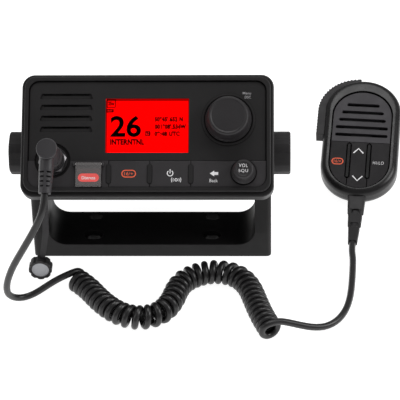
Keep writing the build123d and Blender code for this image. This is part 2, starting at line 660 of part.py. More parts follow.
def rear_chassis():
    side = [(Y_FLANGE, CHASSIS_TOP), (TAIL - 22, CHASSIS_TOP), (TAIL, TAIL_TOP), (TAIL, -TAIL_BOTTOM),
            (-5, -CHASSIS_BOTTOM), (Y_FLANGE, -CHASSIS_BOTTOM)]
    body = side_prism(side, CHASSIS_W / 2)
    body = fillet(body.edges().filter_by(Axis.Y).sort_by(Axis.Z)[-2:], 3.0)
    flange = Pos(0, FACE_RISE) * RectangleRounded(FLANGE_W, FLANGE_H, 6.0)
    body += prism(flange, Y_FLANGE, Y_FLANGE + FLANGE_T)
    wall = CHASSIS_WALL
    cavity = [(Y_FLANGE - 1, CHASSIS_TOP - wall), (CAVITY_BACK, CHASSIS_TOP - wall),
              (CAVITY_BACK, bottom_z(CAVITY_BACK) + wall), (-5, wall - CHASSIS_BOTTOM),
              (Y_FLANGE - 1, wall - CHASSIS_BOTTOM)]
    body -= side_prism(cavity, CHASSIS_W / 2 - wall)
    # cooling fins along the top and down the upper rear
    first = -(FIN_COUNT - 1) / 2 * FIN_PITCH
    for i in range(FIN_COUNT):
        x = first + i * FIN_PITCH
        body -= Pos(x, TAIL - FIN_DEPTH / 2 + 5, 25) * Box(FIN_SLOT, FIN_DEPTH + 10, 40)
        body -= Pos(x, 56, CHASSIS_TOP) * Box(FIN_SLOT, 30, 14)
    # bosses with the clamp threads
    for side_x in (-1, 1):
        boss_x = side_x * (CHASSIS_W / 2 - STUD_REACH / 2 - 1)
        body += Pos(boss_x, 0, 0) * Cylinder(8, STUD_REACH + 2, rotation=(0, 90, 0))
        bore_x = side_x * (CHASSIS_W / 2 - STUD_REACH / 2)
        body -= Pos(bore_x, 0, 0) * Cylinder(STUD_R + STUD_PLAY, STUD_REACH + 0.6, rotation=(0, 90, 0))
    for x, z in flange_screw_places():
        body -= disc(x, z, 2.0, Y_FLANGE - 1, Y_FLANGE + FLANGE_T + 1)
    # seats of the three rear connectors
    for x, radius in ((ANTENNA_X, 6.0), (POWER_X, 5.0), (ACCESSORY_X, 6.0)):
        body -= disc(x, REAR_Z, radius, TAIL - 7, TAIL + 1)
        body -= disc(x, REAR_Z, 2.6, CAVITY_BACK - 1, TAIL)
    for x, y in main_board_posts():
        height = MAIN_BOARD_Z - bottom_z(y) - wall + 0.6
        body += Pos(x, y, MAIN_BOARD_Z - height / 2) * Cylinder(3, height)
    return body


def flange_screw_places():
    return [(side * 79.5, FACE_RISE + up * 29.0) for side in (-1, 1) for up in (-1, 1)]


def housing_screws():
    """Screws of the front board, and the socket screws that join the flange to the front."""
    screws = []
    for x, z in board_posts():
        head = disc(x, z, 2.4, Y_BOARD + BOARD_T, Y_BOARD + BOARD_T + 1.6)
        screws.append(head + disc(x, z, 1.2, Y_BOARD, Y_BOARD + BOARD_T + 0.2))
    for x, z in flange_screw_places():
        head = disc(x, z, 3.4, Y_FLANGE + FLANGE_T, Y_FLANGE + FLANGE_T + 2.2)
        head -= prism(Pos(x, z) * RegularPolygon(1.5, 6), Y_FLANGE + FLANGE_T + 1, Y_FLANGE + FLANGE_T + 3)
        screws.append(head + disc(x, z, 2.0, Y_FRAME_BACK - 2.4, Y_FLANGE + FLANGE_T + 0.2))
    return Compound(children=screws)


MAIN_BOARD_Z = -14.0
ANTENNA_X = 44.0
POWER_X = -46.0
ACCESSORY_X = -8.0
REAR_Z = -8.0


def main_board_posts():
    return [(x, y) for x in (-55.0, 55.0) for y in (-14.0, 28.0)]


def main_board():
    board = Pos(0, 7, MAIN_BOARD_Z + 0.8) * Box(128, 50, 1.6)
    for x, y in main_board_posts():
        board -= Pos(x, y, MAIN_BOARD_Z) * Cylinder(1.4, 6)
    return board


def rf_shield():
    """Screening can and power module, seated on the main board."""
    can = Pos(18, 10, MAIN_BOARD_Z + 1.6 + 6) * Box(62, 38, 12)
    can = fillet(can.edges().filter_by(Axis.Z), 2)
    return can + Pos(-36, 16, MAIN_BOARD_Z + 1.6 + 4.5) * Box(28, 26, 9)


def antenna_socket():
    """Screw-on aerial connector with its square flange."""
    flange = prism(Pos(ANTENNA_X, REAR_Z) * RectangleRounded(22, 22, 2), TAIL, TAIL + 2)
    for sx in (-8.5, 8.5):
        for sz in (-8.5, 8.5):
            flange += disc(ANTENNA_X + sx, REAR_Z + sz, 1.6, TAIL + 2, TAIL + 3)
    profile = [(2.2, TAIL + 6), (2.2, TAIL + 17), (6.2, TAIL + 17), (7.6, TAIL + 16.2), (7.9, TAIL + 15),
               (7.9, TAIL + 2), (0, TAIL + 2), (0, TAIL + 6)]
    barrel = turned(profile, ANTENNA_X, REAR_Z)
    return flange + barrel + disc(ANTENNA_X, REAR_Z, 5.9, TAIL - 7, TAIL + 2.2)


def power_gland():
    """Moulded inlet for the supply lead; the lead itself isn't fitted."""
    body = turned([(2.6, TAIL - 7), (4.9, TAIL - 7), (4.9, TAIL), (8, TAIL), (8, TAIL + 2.2), (6, TAIL + 3.2),
                   (4.8, TAIL + 11), (2.6, TAIL + 11)], POWER_X, REAR_Z)
    return body


def accessory_socket():
    """Round data socket with its grooved screw cap on."""
    body = turned([(0, TAIL - 7), (5.9, TAIL - 7), (5.9, TAIL), (9, TAIL), (9, TAIL + 1.6), (7.6, TAIL + 2.2),
                   (7.6, TAIL + 9.4), (6.8, TAIL + 10.2), (0, TAIL + 10.2)], ACCESSORY_X, REAR_Z)
    for i in range(12):
        turn = math.radians(30 * i)
        x = ACCESSORY_X + 7.9 * math.cos(turn)
        z = REAR_Z + 7.9 * math.sin(turn)
        body -= disc(x, z, 0.7, TAIL + 3.2, TAIL + 11)
    return body


# ------------------------------------------------------------------ bracket and clamps
def mount_slots():
    return [(sx * MOUNT_X / 2, MOUNT_SHIFT + sy * MOUNT_Y / 2) for sx in (-1, 1) for sy in (-1, 1)]


def trunnion_bracket():
    height = PIVOT_HEIGHT + BRACKET_HEAD_R
    inner_w = BRACKET_W - 2 * BRACKET_ARM
    front = Pos(0, height / 2) * Rectangle(BRACKET_W, height)
    inside = Pos(0, BRACKET_BASE_T + height) * RectangleRounded(inner_w, 2 * height, BRACKET_FILLET)
    body = prism(front - inside, -BRACKET_D, BRACKET_D)
    head = Pos(0, PIVOT_HEIGHT) * Circle(BRACKET_HEAD_R)
    foot = Pos(0, BRACKET_BASE_T) * Rectangle(BRACKET_D, 2 * BRACKET_BASE_T)
    hull = make_hull((head + foot).edges())
    body &= extrude(Plane.YZ * hull, amount=BRACKET_W, both=True)
    for side in (0, -1):
        rim = body.faces().sort_by(Axis.X)[side].edges()
        body = fillet(rim.filter_by(lambda edge: edge.center().Z > 1), BRACKET_EDGE)
    body -= Cylinder(ARM_HOLE_R, BRACKET_W + 2, rotation=(0, 90, 0)).moved(Location((0, 0, PIVOT_HEIGHT)))
    # hollow underside with cross ribs
    shell = BRACKET_SHELL
    bay_w = (BRACKET_W - 7 * shell) / 6
    for i in range(6):
        x = -BRACKET_W / 2 + shell + bay_w / 2 + i * (bay_w + shell)
        depth = BRACKET_BASE_T - shell
        body -= Pos(x, 0, depth / 2 - 0.5) * Box(bay_w, BRACKET_D - 2 * shell, depth + 1)
    for x, y in mount_slots():
        boss = SlotOverall(SLOT_LEN + 5, 2 * SLOT_HALF + 5)
        body += Pos(x, y, 0) * extrude(boss, amount=BRACKET_BASE_T - 1) & Box(BRACKET_W, BRACKET_D, 60)
    for x, y in mount_slots():
        body -= Pos(x, y, -1) * extrude(SlotOverall(SLOT_LEN, 2 * SLOT_HALF), amount=20)
        if y < MOUNT_SHIFT:
            sink = SlotOverall(SLOT_LEN + 4, 2 * SLOT_HALF + 4.4)
            body -= Pos(x, y, BRACKET_BASE_T - 3) * extrude(sink, amount=9)
    return body


def friction_washers():
    """Washers between the bracket's arms and the housing."""
    body = Cylinder(12.5, ARM_GAP - 2 * WASHER_PLAY, rotation=(0, 90, 0))
    body -= Cylinder(ARM_HOLE_R, ARM_GAP + 1, rotation=(0, 90, 0))
    x = CHASSIS_W / 2 + ARM_GAP / 2
    return Compound(children=[Pos(side * x, 0, PIVOT_HEIGHT) * body for side in (-1, 1)])


def clamp_knob(side):
    """Six-sided hand knob with grip grooves, outside one bracket arm."""
    outline = Circle(KNOB_R) & RegularPolygon(KNOB_FLAT, 6, major_radius=False, rotation=12)
    body = extrude(Plane.YZ * outline, amount=KNOB_T)
    body = fillet(body.faces().sort_by(Axis.X)[-1].edges(), 1.4)
    for i in range(6):
        turn = math.radians(42 + 60 * i)
        groove = Pos(KNOB_R * math.cos(turn), KNOB_R * math.sin(turn)) * Circle(0.8)
        body -= extrude(Plane.YZ * groove, amount=KNOB_T - 2)
    body -= Pos(KNOB_T, 0, 0) * Cylinder(8.5, 1.6, rotation=(0, 90, 0))
    body -= Cylinder(STUD_R, 2 * (KNOB_T - 3), rotation=(0, 90, 0))
    body = Pos(BRACKET_W / 2 + KNOB_SEAT, 0, PIVOT_HEIGHT) * body
    return body if side > 0 else mirror(body, about=Plane.YZ)


def clamp_stud(side):
    start = CHASSIS_W / 2 - STUD_REACH + 0.5
    end = BRACKET_W / 2 + KNOB_SEAT + KNOB_T - 3
    rod = Cylinder(STUD_R, end - start, rotation=(0, 90, 0))
    return Pos(side * (start + end) / 2, 0, PIVOT_HEIGHT) * rod


# ------------------------------------------------------------------ microphone
LEAN = math.radians(MIC_LEAN)
MIC_WEDGE = math.degrees(math.atan((MIC_THICK - MIC_THIN) / MIC_L))
MIC_STUD_Y = 76.0
MIC_RECESS = MIC_PANEL_DEPTH + 2.2
MIC_ROOF = 6.0              # inner face of the front shell behind the panel
MIC_PANEL_LOW = MIC_PANEL_Y - MIC_PANEL_L / 2
GRILLE_LOW = MIC_PANEL_LOW + MIC_KEYS_L
ELEMENT_Y = GRILLE_LOW + 20.0
STEM_Y = GRILLE_LOW - 17.4
KEY_T = 1.4
ROCKER_X = (MIC_DIVIDERS[0] + MIC_DIVIDERS[1]) / 2
ROCKER_Y = (GRILLE_LOW - 0.3 + MIC_PANEL_LOW + MIC_GROOVE) / 2
ROCKER_Z = -MIC_PANEL_DEPTH - KEY_T
PTT_SHIFT = PTT_RISE - PTT_PROUD
PTT_FRONT = 3.0
PTT_LOW = 55.6
PTT_INSIDE = 4.0            # lever depth inside the outline of the shells
PTT_PIN_X = -5.0
PTT_PIN_Y = MIC_L - 2.0
MIC_BOARD_Z = -9.4
RELIEF_Z = -8.3


def flat(z):
    return Plane(origin=(0, 0, z))


def slab(sketch, z_low, z_high):
    """Solid of a front-view sketch of the microphone between two heights."""
    return extrude(flat(z_low) * sketch, amount=z_high - z_low)


def rear_depth(y):
    """Depth of the rear face behind the front, at a place up the microphone."""
    return MIC_THIN + (MIC_THICK - MIC_THIN) * y / MIC_L


def mic_outline(grow=0.0):
    return Pos(0, MIC_L / 2) * SlotOverall(MIC_L + 2 * grow, MIC_W + 2 * grow, rotation=90)


def mic_panel(shrink=0.0):
    return Pos(0, MIC_PANEL_Y) * SlotOverall(MIC_PANEL_L - 2 * shrink, MIC_PANEL_W - 2 * shrink, rotation=90)


def lever_area(grow):
    """Upper left part of the front view, where the talk lever is."""
    area = Rectangle(100, 100)
    return Pos(-53.0 + grow, PTT_LOW - grow + 50) * area


def mic_channel():
    """Room that the talk lever needs in both shells, over its whole travel."""
    band = mic_outline(PTT_PROUD + 6) - mic_outline(-PTT_INSIDE - 2.4)
    return slab(band & lever_area(1.3), -PTT_FRONT - PTT_DEPTH - 0.3, -PTT_FRONT + 0.3)


def lever_pin(radius, extra):
    depth = PTT_DEPTH + 2 * extra
    return Pos(PTT_PIN_X, PTT_PIN_Y, -PTT_FRONT - PTT_DEPTH / 2) * Cylinder(radius, depth)


def stud_neck(radius):
    start = rear_depth(MIC_STUD_Y) - 5.0
    return start, Pos(0, MIC_STUD_Y, 0) * Circle(radius)


def block(w0, w1, deep0, deep1, length):
    """Tapered block that runs towards -y from the origin."""
    first = Plane(origin=(0, 0, 0), x_dir=(1, 0, 0), z_dir=(0, -1, 0)) * RectangleRounded(w0, deep0, 1.6)
    last = Plane(origin=(0, -length, 0), x_dir=(1, 0, 0), z_dir=(0, -1, 0)) * RectangleRounded(w1, deep1, 1.6)
    return loft([first, last])


# length, widths, depths and turn before each piece of the relief, from the root out
RELIEF_CHAIN = (
    (15.7, 13.6, 12.2, 9.0, 8.0, -6.0),
    (5.9, 5.6, 5.2, 5.6, 5.2, -6.0),
    (9.7, 10.8, 10.0, 6.4, 5.8, -4.0),
    (5.9, 4.9, 4.7, 5.2, 5.0, -2.0),
    (16.4, 8.7, 6.9, 5.4, 5.3, -2.0),
)
RELIEF_IN = 3.2             # root inside the shells


def relief_root():
    length, w0, w1, deep0, deep1, turn = RELIEF_CHAIN[0]
    return Location((0, RELIEF_IN, RELIEF_Z)) * Rot(turn, 0, 0) * block(w0, w1, deep0, deep1, length)


def mic_relief():
    """Cord relief in three blocks, bent at its two notches until the cord lies level."""
    place = Location((0, RELIEF_IN, RELIEF_Z))
    body = None
    for length, w0, w1, deep0, deep1, turn in RELIEF_CHAIN:
        place = place * Rot(turn, 0, 0)
        piece = place * block(w0, w1, deep0, deep1, length)
        body = piece if body is None else body + piece
        place = place * Pos(0, 0.5 - length, 0)
    return body


def relief_tip():
    place = Location((0, RELIEF_IN, RELIEF_Z))
    for length, w0, w1, deep0, deep1, turn in RELIEF_CHAIN:
        place = place * Rot(turn, 0, 0) * Pos(0, 0.5 - length, 0)
    return place * Pos(0, -0.5, 0)


def mic_hull():
    """Whole outside of the microphone's two shells."""
    body = slab(mic_outline(), -MIC_THICK - 1, 0) - mic_wedge()
    body = fillet(body.faces().sort_by(Axis.Z)[0].edges(), MIC_REAR_ROUND)
    return fillet(body.faces().sort_by(Axis.Z)[-1].edges(), MIC_FRONT_ROUND)


def mic_room():
    """Room inside both shells."""
    body = slab(mic_outline(-MIC_WALL), -MIC_THICK - 1, -MIC_ROOF) - mic_wedge(MIC_WALL)
    return fillet(body.faces().sort_by(Axis.Z)[0].edges(), MIC_REAR_ROUND - MIC_WALL)


def rocker_pivot(radius, length):
    return Pos(ROCKER_X, ROCKER_Y, ROCKER_Z) * Cylinder(radius, length, rotation=(0, 90, 0))


def mic_front_shell():
    body = mic_hull() & slab(mic_outline(1), -MIC_SPLIT, 1)
    body -= slab(mic_panel(), -MIC_RECESS, 1)
    body -= mic_room()
    body -= Pos(0, ELEMENT_Y, -MIC_ROOF) * Cylinder(15, 8)
    for x in MIC_DIVIDERS:
        body += slab(mic_divider(x), -MIC_RECESS - 0.3, -0.7)
    # round rib on which the rocker tilts
    body += rocker_pivot(MIC_PIVOT_R, 8)
    body += Pos(ROCKER_X, ROCKER_Y, (ROCKER_Z - MIC_RECESS) / 2 - 0.1) * Box(8, 1.6, MIC_RECESS + ROCKER_Z + 0.2)
    for x in (-15.0, 15.0):
        body -= Pos(x, STEM_Y, -MIC_ROOF) * Cylinder(2.4, 8)
    for x, y in mic_board_posts():
        body += slab(Pos(x, y) * Circle(2.0), MIC_BOARD_Z, -MIC_ROOF + 0.3)
    return body - mic_channel() - lever_pin(1.0, 1.2) - relief_root()


def mic_board_posts():
    return [(-18.0, 40.0), (18.0, 40.0), (0.0, 89.0), (0.0, 15.0)]


def mic_wedge(offset_in=0.0):
    """Everything behind the sloping rear face."""
    block_behind = Pos(0, MIC_L / 2, -30) * Box(120, 300, 60)
    return Pos(0, 0, -MIC_THIN + offset_in) * Rot(-MIC_WEDGE, 0, 0) * block_behind


def mic_rear_shell():
    body = mic_hull() & slab(mic_outline(1), -MIC_THICK - 2, -MIC_SPLIT)
    body -= mic_room()
    start, neck = stud_neck(4.2)
    body -= slab(neck, -MIC_THICK - 1, -start)
    for x, y in MIC_SCREWS:
        body -= Pos(x, y, -rear_depth(y) + 1.2) * Cylinder(2.6, 3.2)
    return body - mic_channel() - lever_pin(1.0, 1.2) - relief_root()


MIC_SCREWS = ((-16, 25), (16, 25), (12, 87), (-12, 87))


def mic_screws():
    screws = []
    for x, y in MIC_SCREWS:
        screw = Pos(x, y, -rear_depth(y) + 1.2) * Cylinder(2.6, 3.2)
        screws.append(screw - Pos(x, y, -rear_depth(y) - 0.4) * Box(3.4, 0.8, 1.6))
    return Compound(children=screws)


def mic_grille():
    """Upper panel with five sound slots."""
    top = Pos(0, GRILLE_LOW + MIC_PANEL_L / 2) * Rectangle(MIC_W, MIC_PANEL_L)
    body = slab(mic_panel(MIC_GROOVE) & top, -MIC_RECESS, -MIC_PANEL_DEPTH)
    for i, width in enumerate(MIC_SLOTS):
        y = GRILLE_LOW + 6.5 + i * MIC_SLOT_PITCH
        body -= slab(Pos(0, y) * SlotOverall(width, MIC_SLOT_H), -8, 1)
    return body


def mic_divider(x, grow=0.0):
    return Pos(x, STEM_Y) * SlotOverall(MIC_DIVIDER_L + 2 * grow, MIC_DIVIDER_W + 2 * grow, rotation=90)


def mic_key(x_low, x_high, stem_x=None):
    """Key of the lower panel, notched round the divider ridges."""
    gap = 0.3
    area = Rectangle(x_high - x_low - 2 * gap, MIC_PANEL_L)
    area = Pos((x_low + x_high) / 2, GRILLE_LOW - gap - MIC_PANEL_L / 2) * area
    cap = slab(mic_panel(MIC_GROOVE) & area, ROCKER_Z, -MIC_PANEL_DEPTH)
    for x in MIC_DIVIDERS:
        cap -= slab(mic_divider(x, MIC_DIVIDER_GAP), -8, 1)
    if stem_x is None:
        return cap - rocker_pivot(MIC_PIVOT_R + 0.06, 9)
    return cap + slab(Pos(stem_x, STEM_Y) * Circle(2.0), MIC_BOARD_Z + 1.5, ROCKER_Z + 0.1)


def lever_outline():
    """Outer edge of the lever: the shells' outline, a little larger and moved sideways."""
    return Pos(PTT_SHIFT, 0) * mic_outline(PTT_RISE)


def mic_ptt():
    """Talk lever with a toothed outer edge; it pivots at its upper end."""
    region = (lever_outline() - mic_outline(-PTT_INSIDE)) & lever_area(0.0)
    body = slab(region, -PTT_FRONT - PTT_DEPTH, -PTT_FRONT)
    radius = MIC_W / 2 + PTT_RISE + 0.35
    centre_y = MIC_L - MIC_W / 2
    places = []
    for i in range(PTT_ARC_TEETH):
        turn = math.radians(95 + 5.3 * i)
        places.append((PTT_SHIFT + radius * math.cos(turn), centre_y + radius * math.sin(turn)))
    for i in range(PTT_SIDE_TEETH):
        places.append((PTT_SHIFT - radius, centre_y - 2.9 * (i + 1)))
    for x, y in places:
        body -= Pos(x, y, -PTT_FRONT - PTT_DEPTH / 2) * Cylinder(1.1, PTT_DEPTH + 1)
    return body - lever_pin(1.06, 2)


def mic_board():
    """Board on the front shell's posts, with the key pads and the talk switch."""
    region = Pos(0, MIC_L / 2) * SlotOverall(MIC_L - 16, MIC_W - 18, rotation=90)
    body = slab(region, MIC_BOARD_Z - 1.6, MIC_BOARD_Z)
    for x in (-15.0, 15.0):
        body += slab(Pos(x, STEM_Y) * Rectangle(5, 5), MIC_BOARD_Z - 0.2, MIC_BOARD_Z + 1.0)
    return body + slab(Pos(-20.6, PTT_LOW + 7) * Rectangle(6, 6), MIC_BOARD_Z - 0.2, -MIC_ROOF - 0.1)


def mic_element():
    """Small speaker capsule behind the grille."""
    body = slab(Pos(0, ELEMENT_Y) * Circle(14.9), -MIC_ROOF - 0.6, -MIC_RECESS)
    return body + slab(Pos(0, ELEMENT_Y) * Circle(9), MIC_BOARD_Z, -MIC_ROOF - 0.5)


rear = mic_rear_shell()
MIC_LIFT = -(Rot(MIC_LEAN, 0, 0) * rear).bounding_box().min.Z
MIC = Pos(MIC_X, MIC_Y, MIC_LIFT) * Rot(0, 0, MIC_TURN) * Rot(MIC_LEAN, 0, 0)


def mic_hang_stud():
    """Round button that drops into the microphone's wall clip."""
    rim = (MIC_STUD_Y - STUD_HEAD_R) * math.sin(LEAN) + MIC_LIFT
    end = rim / math.cos(LEAN)
    start, neck = stud_neck(4.2)
    head = slab(Pos(0, MIC_STUD_Y) * Circle(STUD_HEAD_R), -end, -end + 2.8)
    return slab(neck, -end + 1, -start) + head


# ------------------------------------------------------------------ cord
PLUG_TIP = RADIO * PLUG_SPIN * Location((SOCKET_X, Y_NECK, RELIEF_END_Z))
MIC_TIP = MIC * relief_tip()


def along(place, direction, distance):
    """Point on the axis of a cord exit."""
    step = (place * Pos(*[distance * d for d in direction])).position
    return (step.X, step.Y, step.Z)


COIL_Z = COIL_R + 0.05
# from the plug down to the surface, then up over the first turn of the coil
PLUG_ROUTE = [
    along(PLUG_TIP, (0, 0, -1), 0.0), along(PLUG_TIP, (0, 0, -1), 7.0), (-71.4, -92.2, 91.5),
    (-77.8, -93.7, 78.6), (-86.2, -92.5, 62.4), (-94.7, -89.6, 45.0), (-100.0, -86.2, 29.0),
    (-101.4, -82.5, 17.4), (-99.9, -78.8, 10.2), (-96.0, -75.2, 5.2), (-90.2, -71.9, 3.0),
    (-82.8, -68.9, 4.4), (-74.8, -66.6, 9.2), (-67.4, -64.6, 13.4), (-60.8, -61.7, 15.3),
    (-54.2, -57.8, 15.7),
]
COIL_ROUTE = [(x, y, COIL_Z) for x, y in (
    (-54.7, -58.1), (-45.6, -66.5), (-36, -81), (-27, -91.5), (-18, -98.5), (-7.6, -102), (2.5, -100.5),
    (11.5, -94.5), (17.5, -82), (19.5, -72), (24, -61), (34, -53), (46, -49.5), (58, -51.5), (67, -58),
    (73, -69), (76.5, -82), (80.5, -96), (84, -105.6), (87.8, -114.7))]
# from the top of the coil's last turn down to the surface and up to the microphone
MIC_ROUTE = [
    (86.6, -114.3, 15.7), (92.9, -111.8, 15.0), (100.5, -110.5, 12.4), (109.0, -109.4, 8.9),
    (118.1, -107.6, 5.4), (127.2, -103.8, 3.0), (135.1, -96.8, 2.5), (140.6, -87.1, 2.5), (144.0, -75.6, 2.5),
    (145.9, -63.2, 2.5), (147.0, -50.3, 2.5), (147.8, -37.6, 2.5), (148.4, -25.4, 2.5),
    along(MIC_TIP, (0, -1, 0), 9.0), along(MIC_TIP, (0, -1, 0), 0.0),
]

# ------------------------------------------------------------------ the assembly
keep("trunnion_bracket", trunnion_bracket())
keep("friction_washers", friction_washers())
keep("clamp_knob_left", clamp_knob(-1))
keep("clamp_knob_right", clamp_knob(1))
keep("clamp_stud_left", clamp_stud(-1))
keep("clamp_stud_right", clamp_stud(1))

keep("front_bezel", front_bezel(), RADIO)
keep("front_frame", front_frame(), RADIO)
keep("front_gasket", front_gasket(), RADIO)
keep("band_panel_left", band_panel_left(), RADIO)
for name in KEYS:
    keep(name, key(name), RADIO)
keep("key_switches", key_switches(), RADIO)
keep("display_window", display_window(), RADIO)
keep("display_gasket", display_gasket(), RADIO)
keep("lcd_module", lcd_module(), RADIO)
keep("front_board", front_board(), RADIO)
keep("speaker_frame", speaker_frame(), RADIO)
keep("speaker_cone", speaker_cone(), RADIO)
keep("channel_knob", channel_knob(), RADIO)
keep("channel_shaft", push_shaft(CHANNEL_X, CHANNEL_Z, CHANNEL_H, Y_PANEL), RADIO)
keep("channel_encoder", encoder(CHANNEL_X, CHANNEL_Z, Y_PANEL), RADIO)
keep("volume_knob", volume_knob(), RADIO)
keep("volume_shaft", push_shaft(VOLUME_X, VOLUME_Z, VOLUME_H, Y_BAND), RADIO)
keep("volume_encoder", encoder(VOLUME_X, VOLUME_Z, Y_BAND), RADIO)
keep("distress_cover", distress_cover(), RADIO)
keep("distress_cover_pin", distress_cover_pin(), RADIO)
keep("distress_button", distress_button(), RADIO)
keep("mic_socket", mic_socket(), RADIO)
keep("socket_nut", socket_nut(), RADIO)
keep("plug_coupling_ring", plug_coupling_ring(), RADIO)
keep("plug_body", plug_body(), RADIO * PLUG_SPIN)
keep("plug_relief", plug_relief(), RADIO * PLUG_SPIN)
keep("dust_cap_strap", dust_cap_strap())
keep("dust_cap", dust_cap())
keep("dust_cap_seal", dust_cap_seal())

keep("rear_chassis", rear_chassis(), RADIO)
keep("housing_screws", housing_screws(), RADIO)
keep("main_board", main_board(), RADIO)
keep("rf_shield", rf_shield(), RADIO)
keep("antenna_socket", antenna_socket(), RADIO)
keep("power_gland", power_gland(), RADIO)
keep("accessory_socket", accessory_socket(), RADIO)

keep("mic_front_shell", mic_front_shell(), MIC)
keep("mic_rear_shell", rear, MIC)
keep("mic_grille", mic_grille(), MIC)
keep("mic_key_16", mic_key(-MIC_W, MIC_DIVIDERS[0], -15.0), MIC)
keep("mic_rocker", mic_key(*MIC_DIVIDERS), MIC)
keep("mic_key_power_level", mic_key(MIC_DIVIDERS[1], MIC_W, 15.0), MIC)
keep("mic_ptt", mic_ptt(), MIC)
keep("mic_ptt_pin", lever_pin(1.0, 1.2), MIC)
keep("mic_board", mic_board(), MIC)
keep("mic_element", mic_element(), MIC)
keep("mic_hang_stud", mic_hang_stud(), MIC)
keep("mic_screws", mic_screws(), MIC)
keep("mic_relief", mic_relief(), MIC)

keep("cord_plug_end", tube(PLUG_ROUTE, CORD_R))
keep("cord_coil", tube(COIL_ROUTE, COIL_R))
keep("cord_mic_end", tube(MIC_ROUTE, CORD_R))

for name, shape in PARTS.items():
    shape.label = name
    export_step(shape, f"parts/{name}.step")
print(len(PARTS), "nodes")
ENDS = (("plug exit", PLUG_ROUTE[0]), ("next", PLUG_ROUTE[1]), ("before microphone", MIC_ROUTE[-2]),
        ("microphone exit", MIC_ROUTE[-1]), ("strap hinge", HINGE.position))
for title, point in ENDS:
    print(title, [round(value, 2) for value in point])
print("microphone lift", round(MIC_LIFT, 3))
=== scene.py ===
"""Looks of the fixed-mount VHF marine radio with its fist microphone and curly cord.

Lengths are in metres in the shared frame. They are in millimetres where a name ends in _mm or
a point goes through mm(), in flat drawings, and in the routes of the cord. Print is drawn on a
sheet, FACE for the radio or MIC for the microphone: x to the right, y up, z out towards the eye.
"""
import math

import bmesh
import bpy
from mathutils import Matrix, Vector
from mathutils.bvhtree import BVHTree

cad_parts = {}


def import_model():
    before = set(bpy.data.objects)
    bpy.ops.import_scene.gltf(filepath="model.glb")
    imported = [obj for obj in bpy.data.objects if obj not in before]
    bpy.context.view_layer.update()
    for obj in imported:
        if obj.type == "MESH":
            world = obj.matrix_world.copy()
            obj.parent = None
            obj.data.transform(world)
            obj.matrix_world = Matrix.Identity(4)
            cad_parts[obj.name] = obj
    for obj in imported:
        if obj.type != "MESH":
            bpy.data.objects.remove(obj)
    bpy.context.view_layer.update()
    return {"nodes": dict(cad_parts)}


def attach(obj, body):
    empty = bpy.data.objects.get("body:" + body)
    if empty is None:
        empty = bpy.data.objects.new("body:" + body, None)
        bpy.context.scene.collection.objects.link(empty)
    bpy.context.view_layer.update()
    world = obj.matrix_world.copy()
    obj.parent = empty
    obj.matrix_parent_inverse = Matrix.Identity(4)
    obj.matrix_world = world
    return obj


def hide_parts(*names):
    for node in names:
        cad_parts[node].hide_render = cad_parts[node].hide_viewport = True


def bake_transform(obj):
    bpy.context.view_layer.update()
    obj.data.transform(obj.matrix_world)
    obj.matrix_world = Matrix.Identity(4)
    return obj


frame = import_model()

NODES = frame["nodes"]
TRUNNION_Z = 0.080
RADIO_TILT = -48
MIC_PLACE = (0.1527, 0.0376, 0.014879)
MIC_TURN = -5.3
MIC_INCLINE = 20


def turned(degrees, axis):
    return Matrix.Rotation(math.radians(degrees), 4, axis)


FACE = Matrix.Translation((0, 0, TRUNNION_Z)) @ turned(RADIO_TILT, "X") @ turned(90, "X")
MIC = Matrix.Translation(MIC_PLACE) @ turned(MIC_TURN, "Z") @ turned(MIC_INCLINE, "X")


def mm(*values):
    return Vector([value / 1000 for value in values])


# ---------------------------------------------------------------- materials
GROOVE_SPEC = 0.02  # shine left at the bottom of a groove by the painted shade
GROOVE_OPEN = (0.35, 0.85)  # openness from which and up to which the painted shade fades and the shine returns
RECESS_EDGE = 0.0002  # soft edge of the painted shade in a recess
RECESS_SHADE = 0.75  # share of colour and shine that the painted shade takes away in a recess
LCD_DOTS = 3800  # pixels of the display in a metre


def new_material(name):
    mat = bpy.data.materials.new(name)
    mat.use_nodes = True
    tree = mat.node_tree
    tree.nodes.clear()
    out = tree.nodes.new("ShaderNodeOutputMaterial")
    shader = tree.nodes.new("ShaderNodeBsdfPrincipled")
    tree.links.new(shader.outputs[0], out.inputs[0])
    return mat, tree, shader


def noise(tree, scale, detail, rough):
    """Noise in the object's own coordinates, so that it rides with its piece."""
    coords = tree.nodes.new("ShaderNodeTexCoord")
    tex = tree.nodes.new("ShaderNodeTexNoise")
    tex.inputs["Scale"].default_value = scale
    tex.inputs["Detail"].default_value = detail
    tex.inputs["Roughness"].default_value = rough
    tree.links.new(coords.outputs["Object"], tex.inputs["Vector"])
    return tex.outputs[0]


def spread(tree, source, low, high, start=0.3, end=0.7):
    """Output that runs from low to high as the source does from start to end."""
    node = tree.nodes.new("ShaderNodeMapRange")
    node.inputs["From Min"].default_value = start
    node.inputs["From Max"].default_value = end
    node.inputs["To Min"].default_value = low
    node.inputs["To Max"].default_value = high
    tree.links.new(source, node.inputs["Value"])
    return node.outputs["Result"]


def two_tone(tree, shader, color, shade, scale):
    """Base colour that varies softly between a darker and a lighter shade."""
    ramp = tree.nodes.new("ShaderNodeValToRGB")
    ramp.color_ramp.elements[0].position = 0.3
    ramp.color_ramp.elements[1].position = 0.7
    ramp.color_ramp.elements[0].color = [value * (1 - shade) for value in color] + [1]
    ramp.color_ramp.elements[1].color = [value * (1 + shade) for value in color] + [1]
    tree.links.new(noise(tree, scale, detail=5.0, rough=0.6), ramp.inputs[0])
    tree.links.new(ramp.outputs[0], shader.inputs["Base Color"])


def bump(tree, shader, height, depth, strength):
    """Relief of the surface, its depth in metres."""
    node = tree.nodes.new("ShaderNodeBump")
    node.inputs["Strength"].default_value = strength
    node.inputs["Distance"].default_value = depth
    tree.links.new(height, node.inputs["Height"])
    tree.links.new(node.outputs[0], shader.inputs["Normal"])
    return node


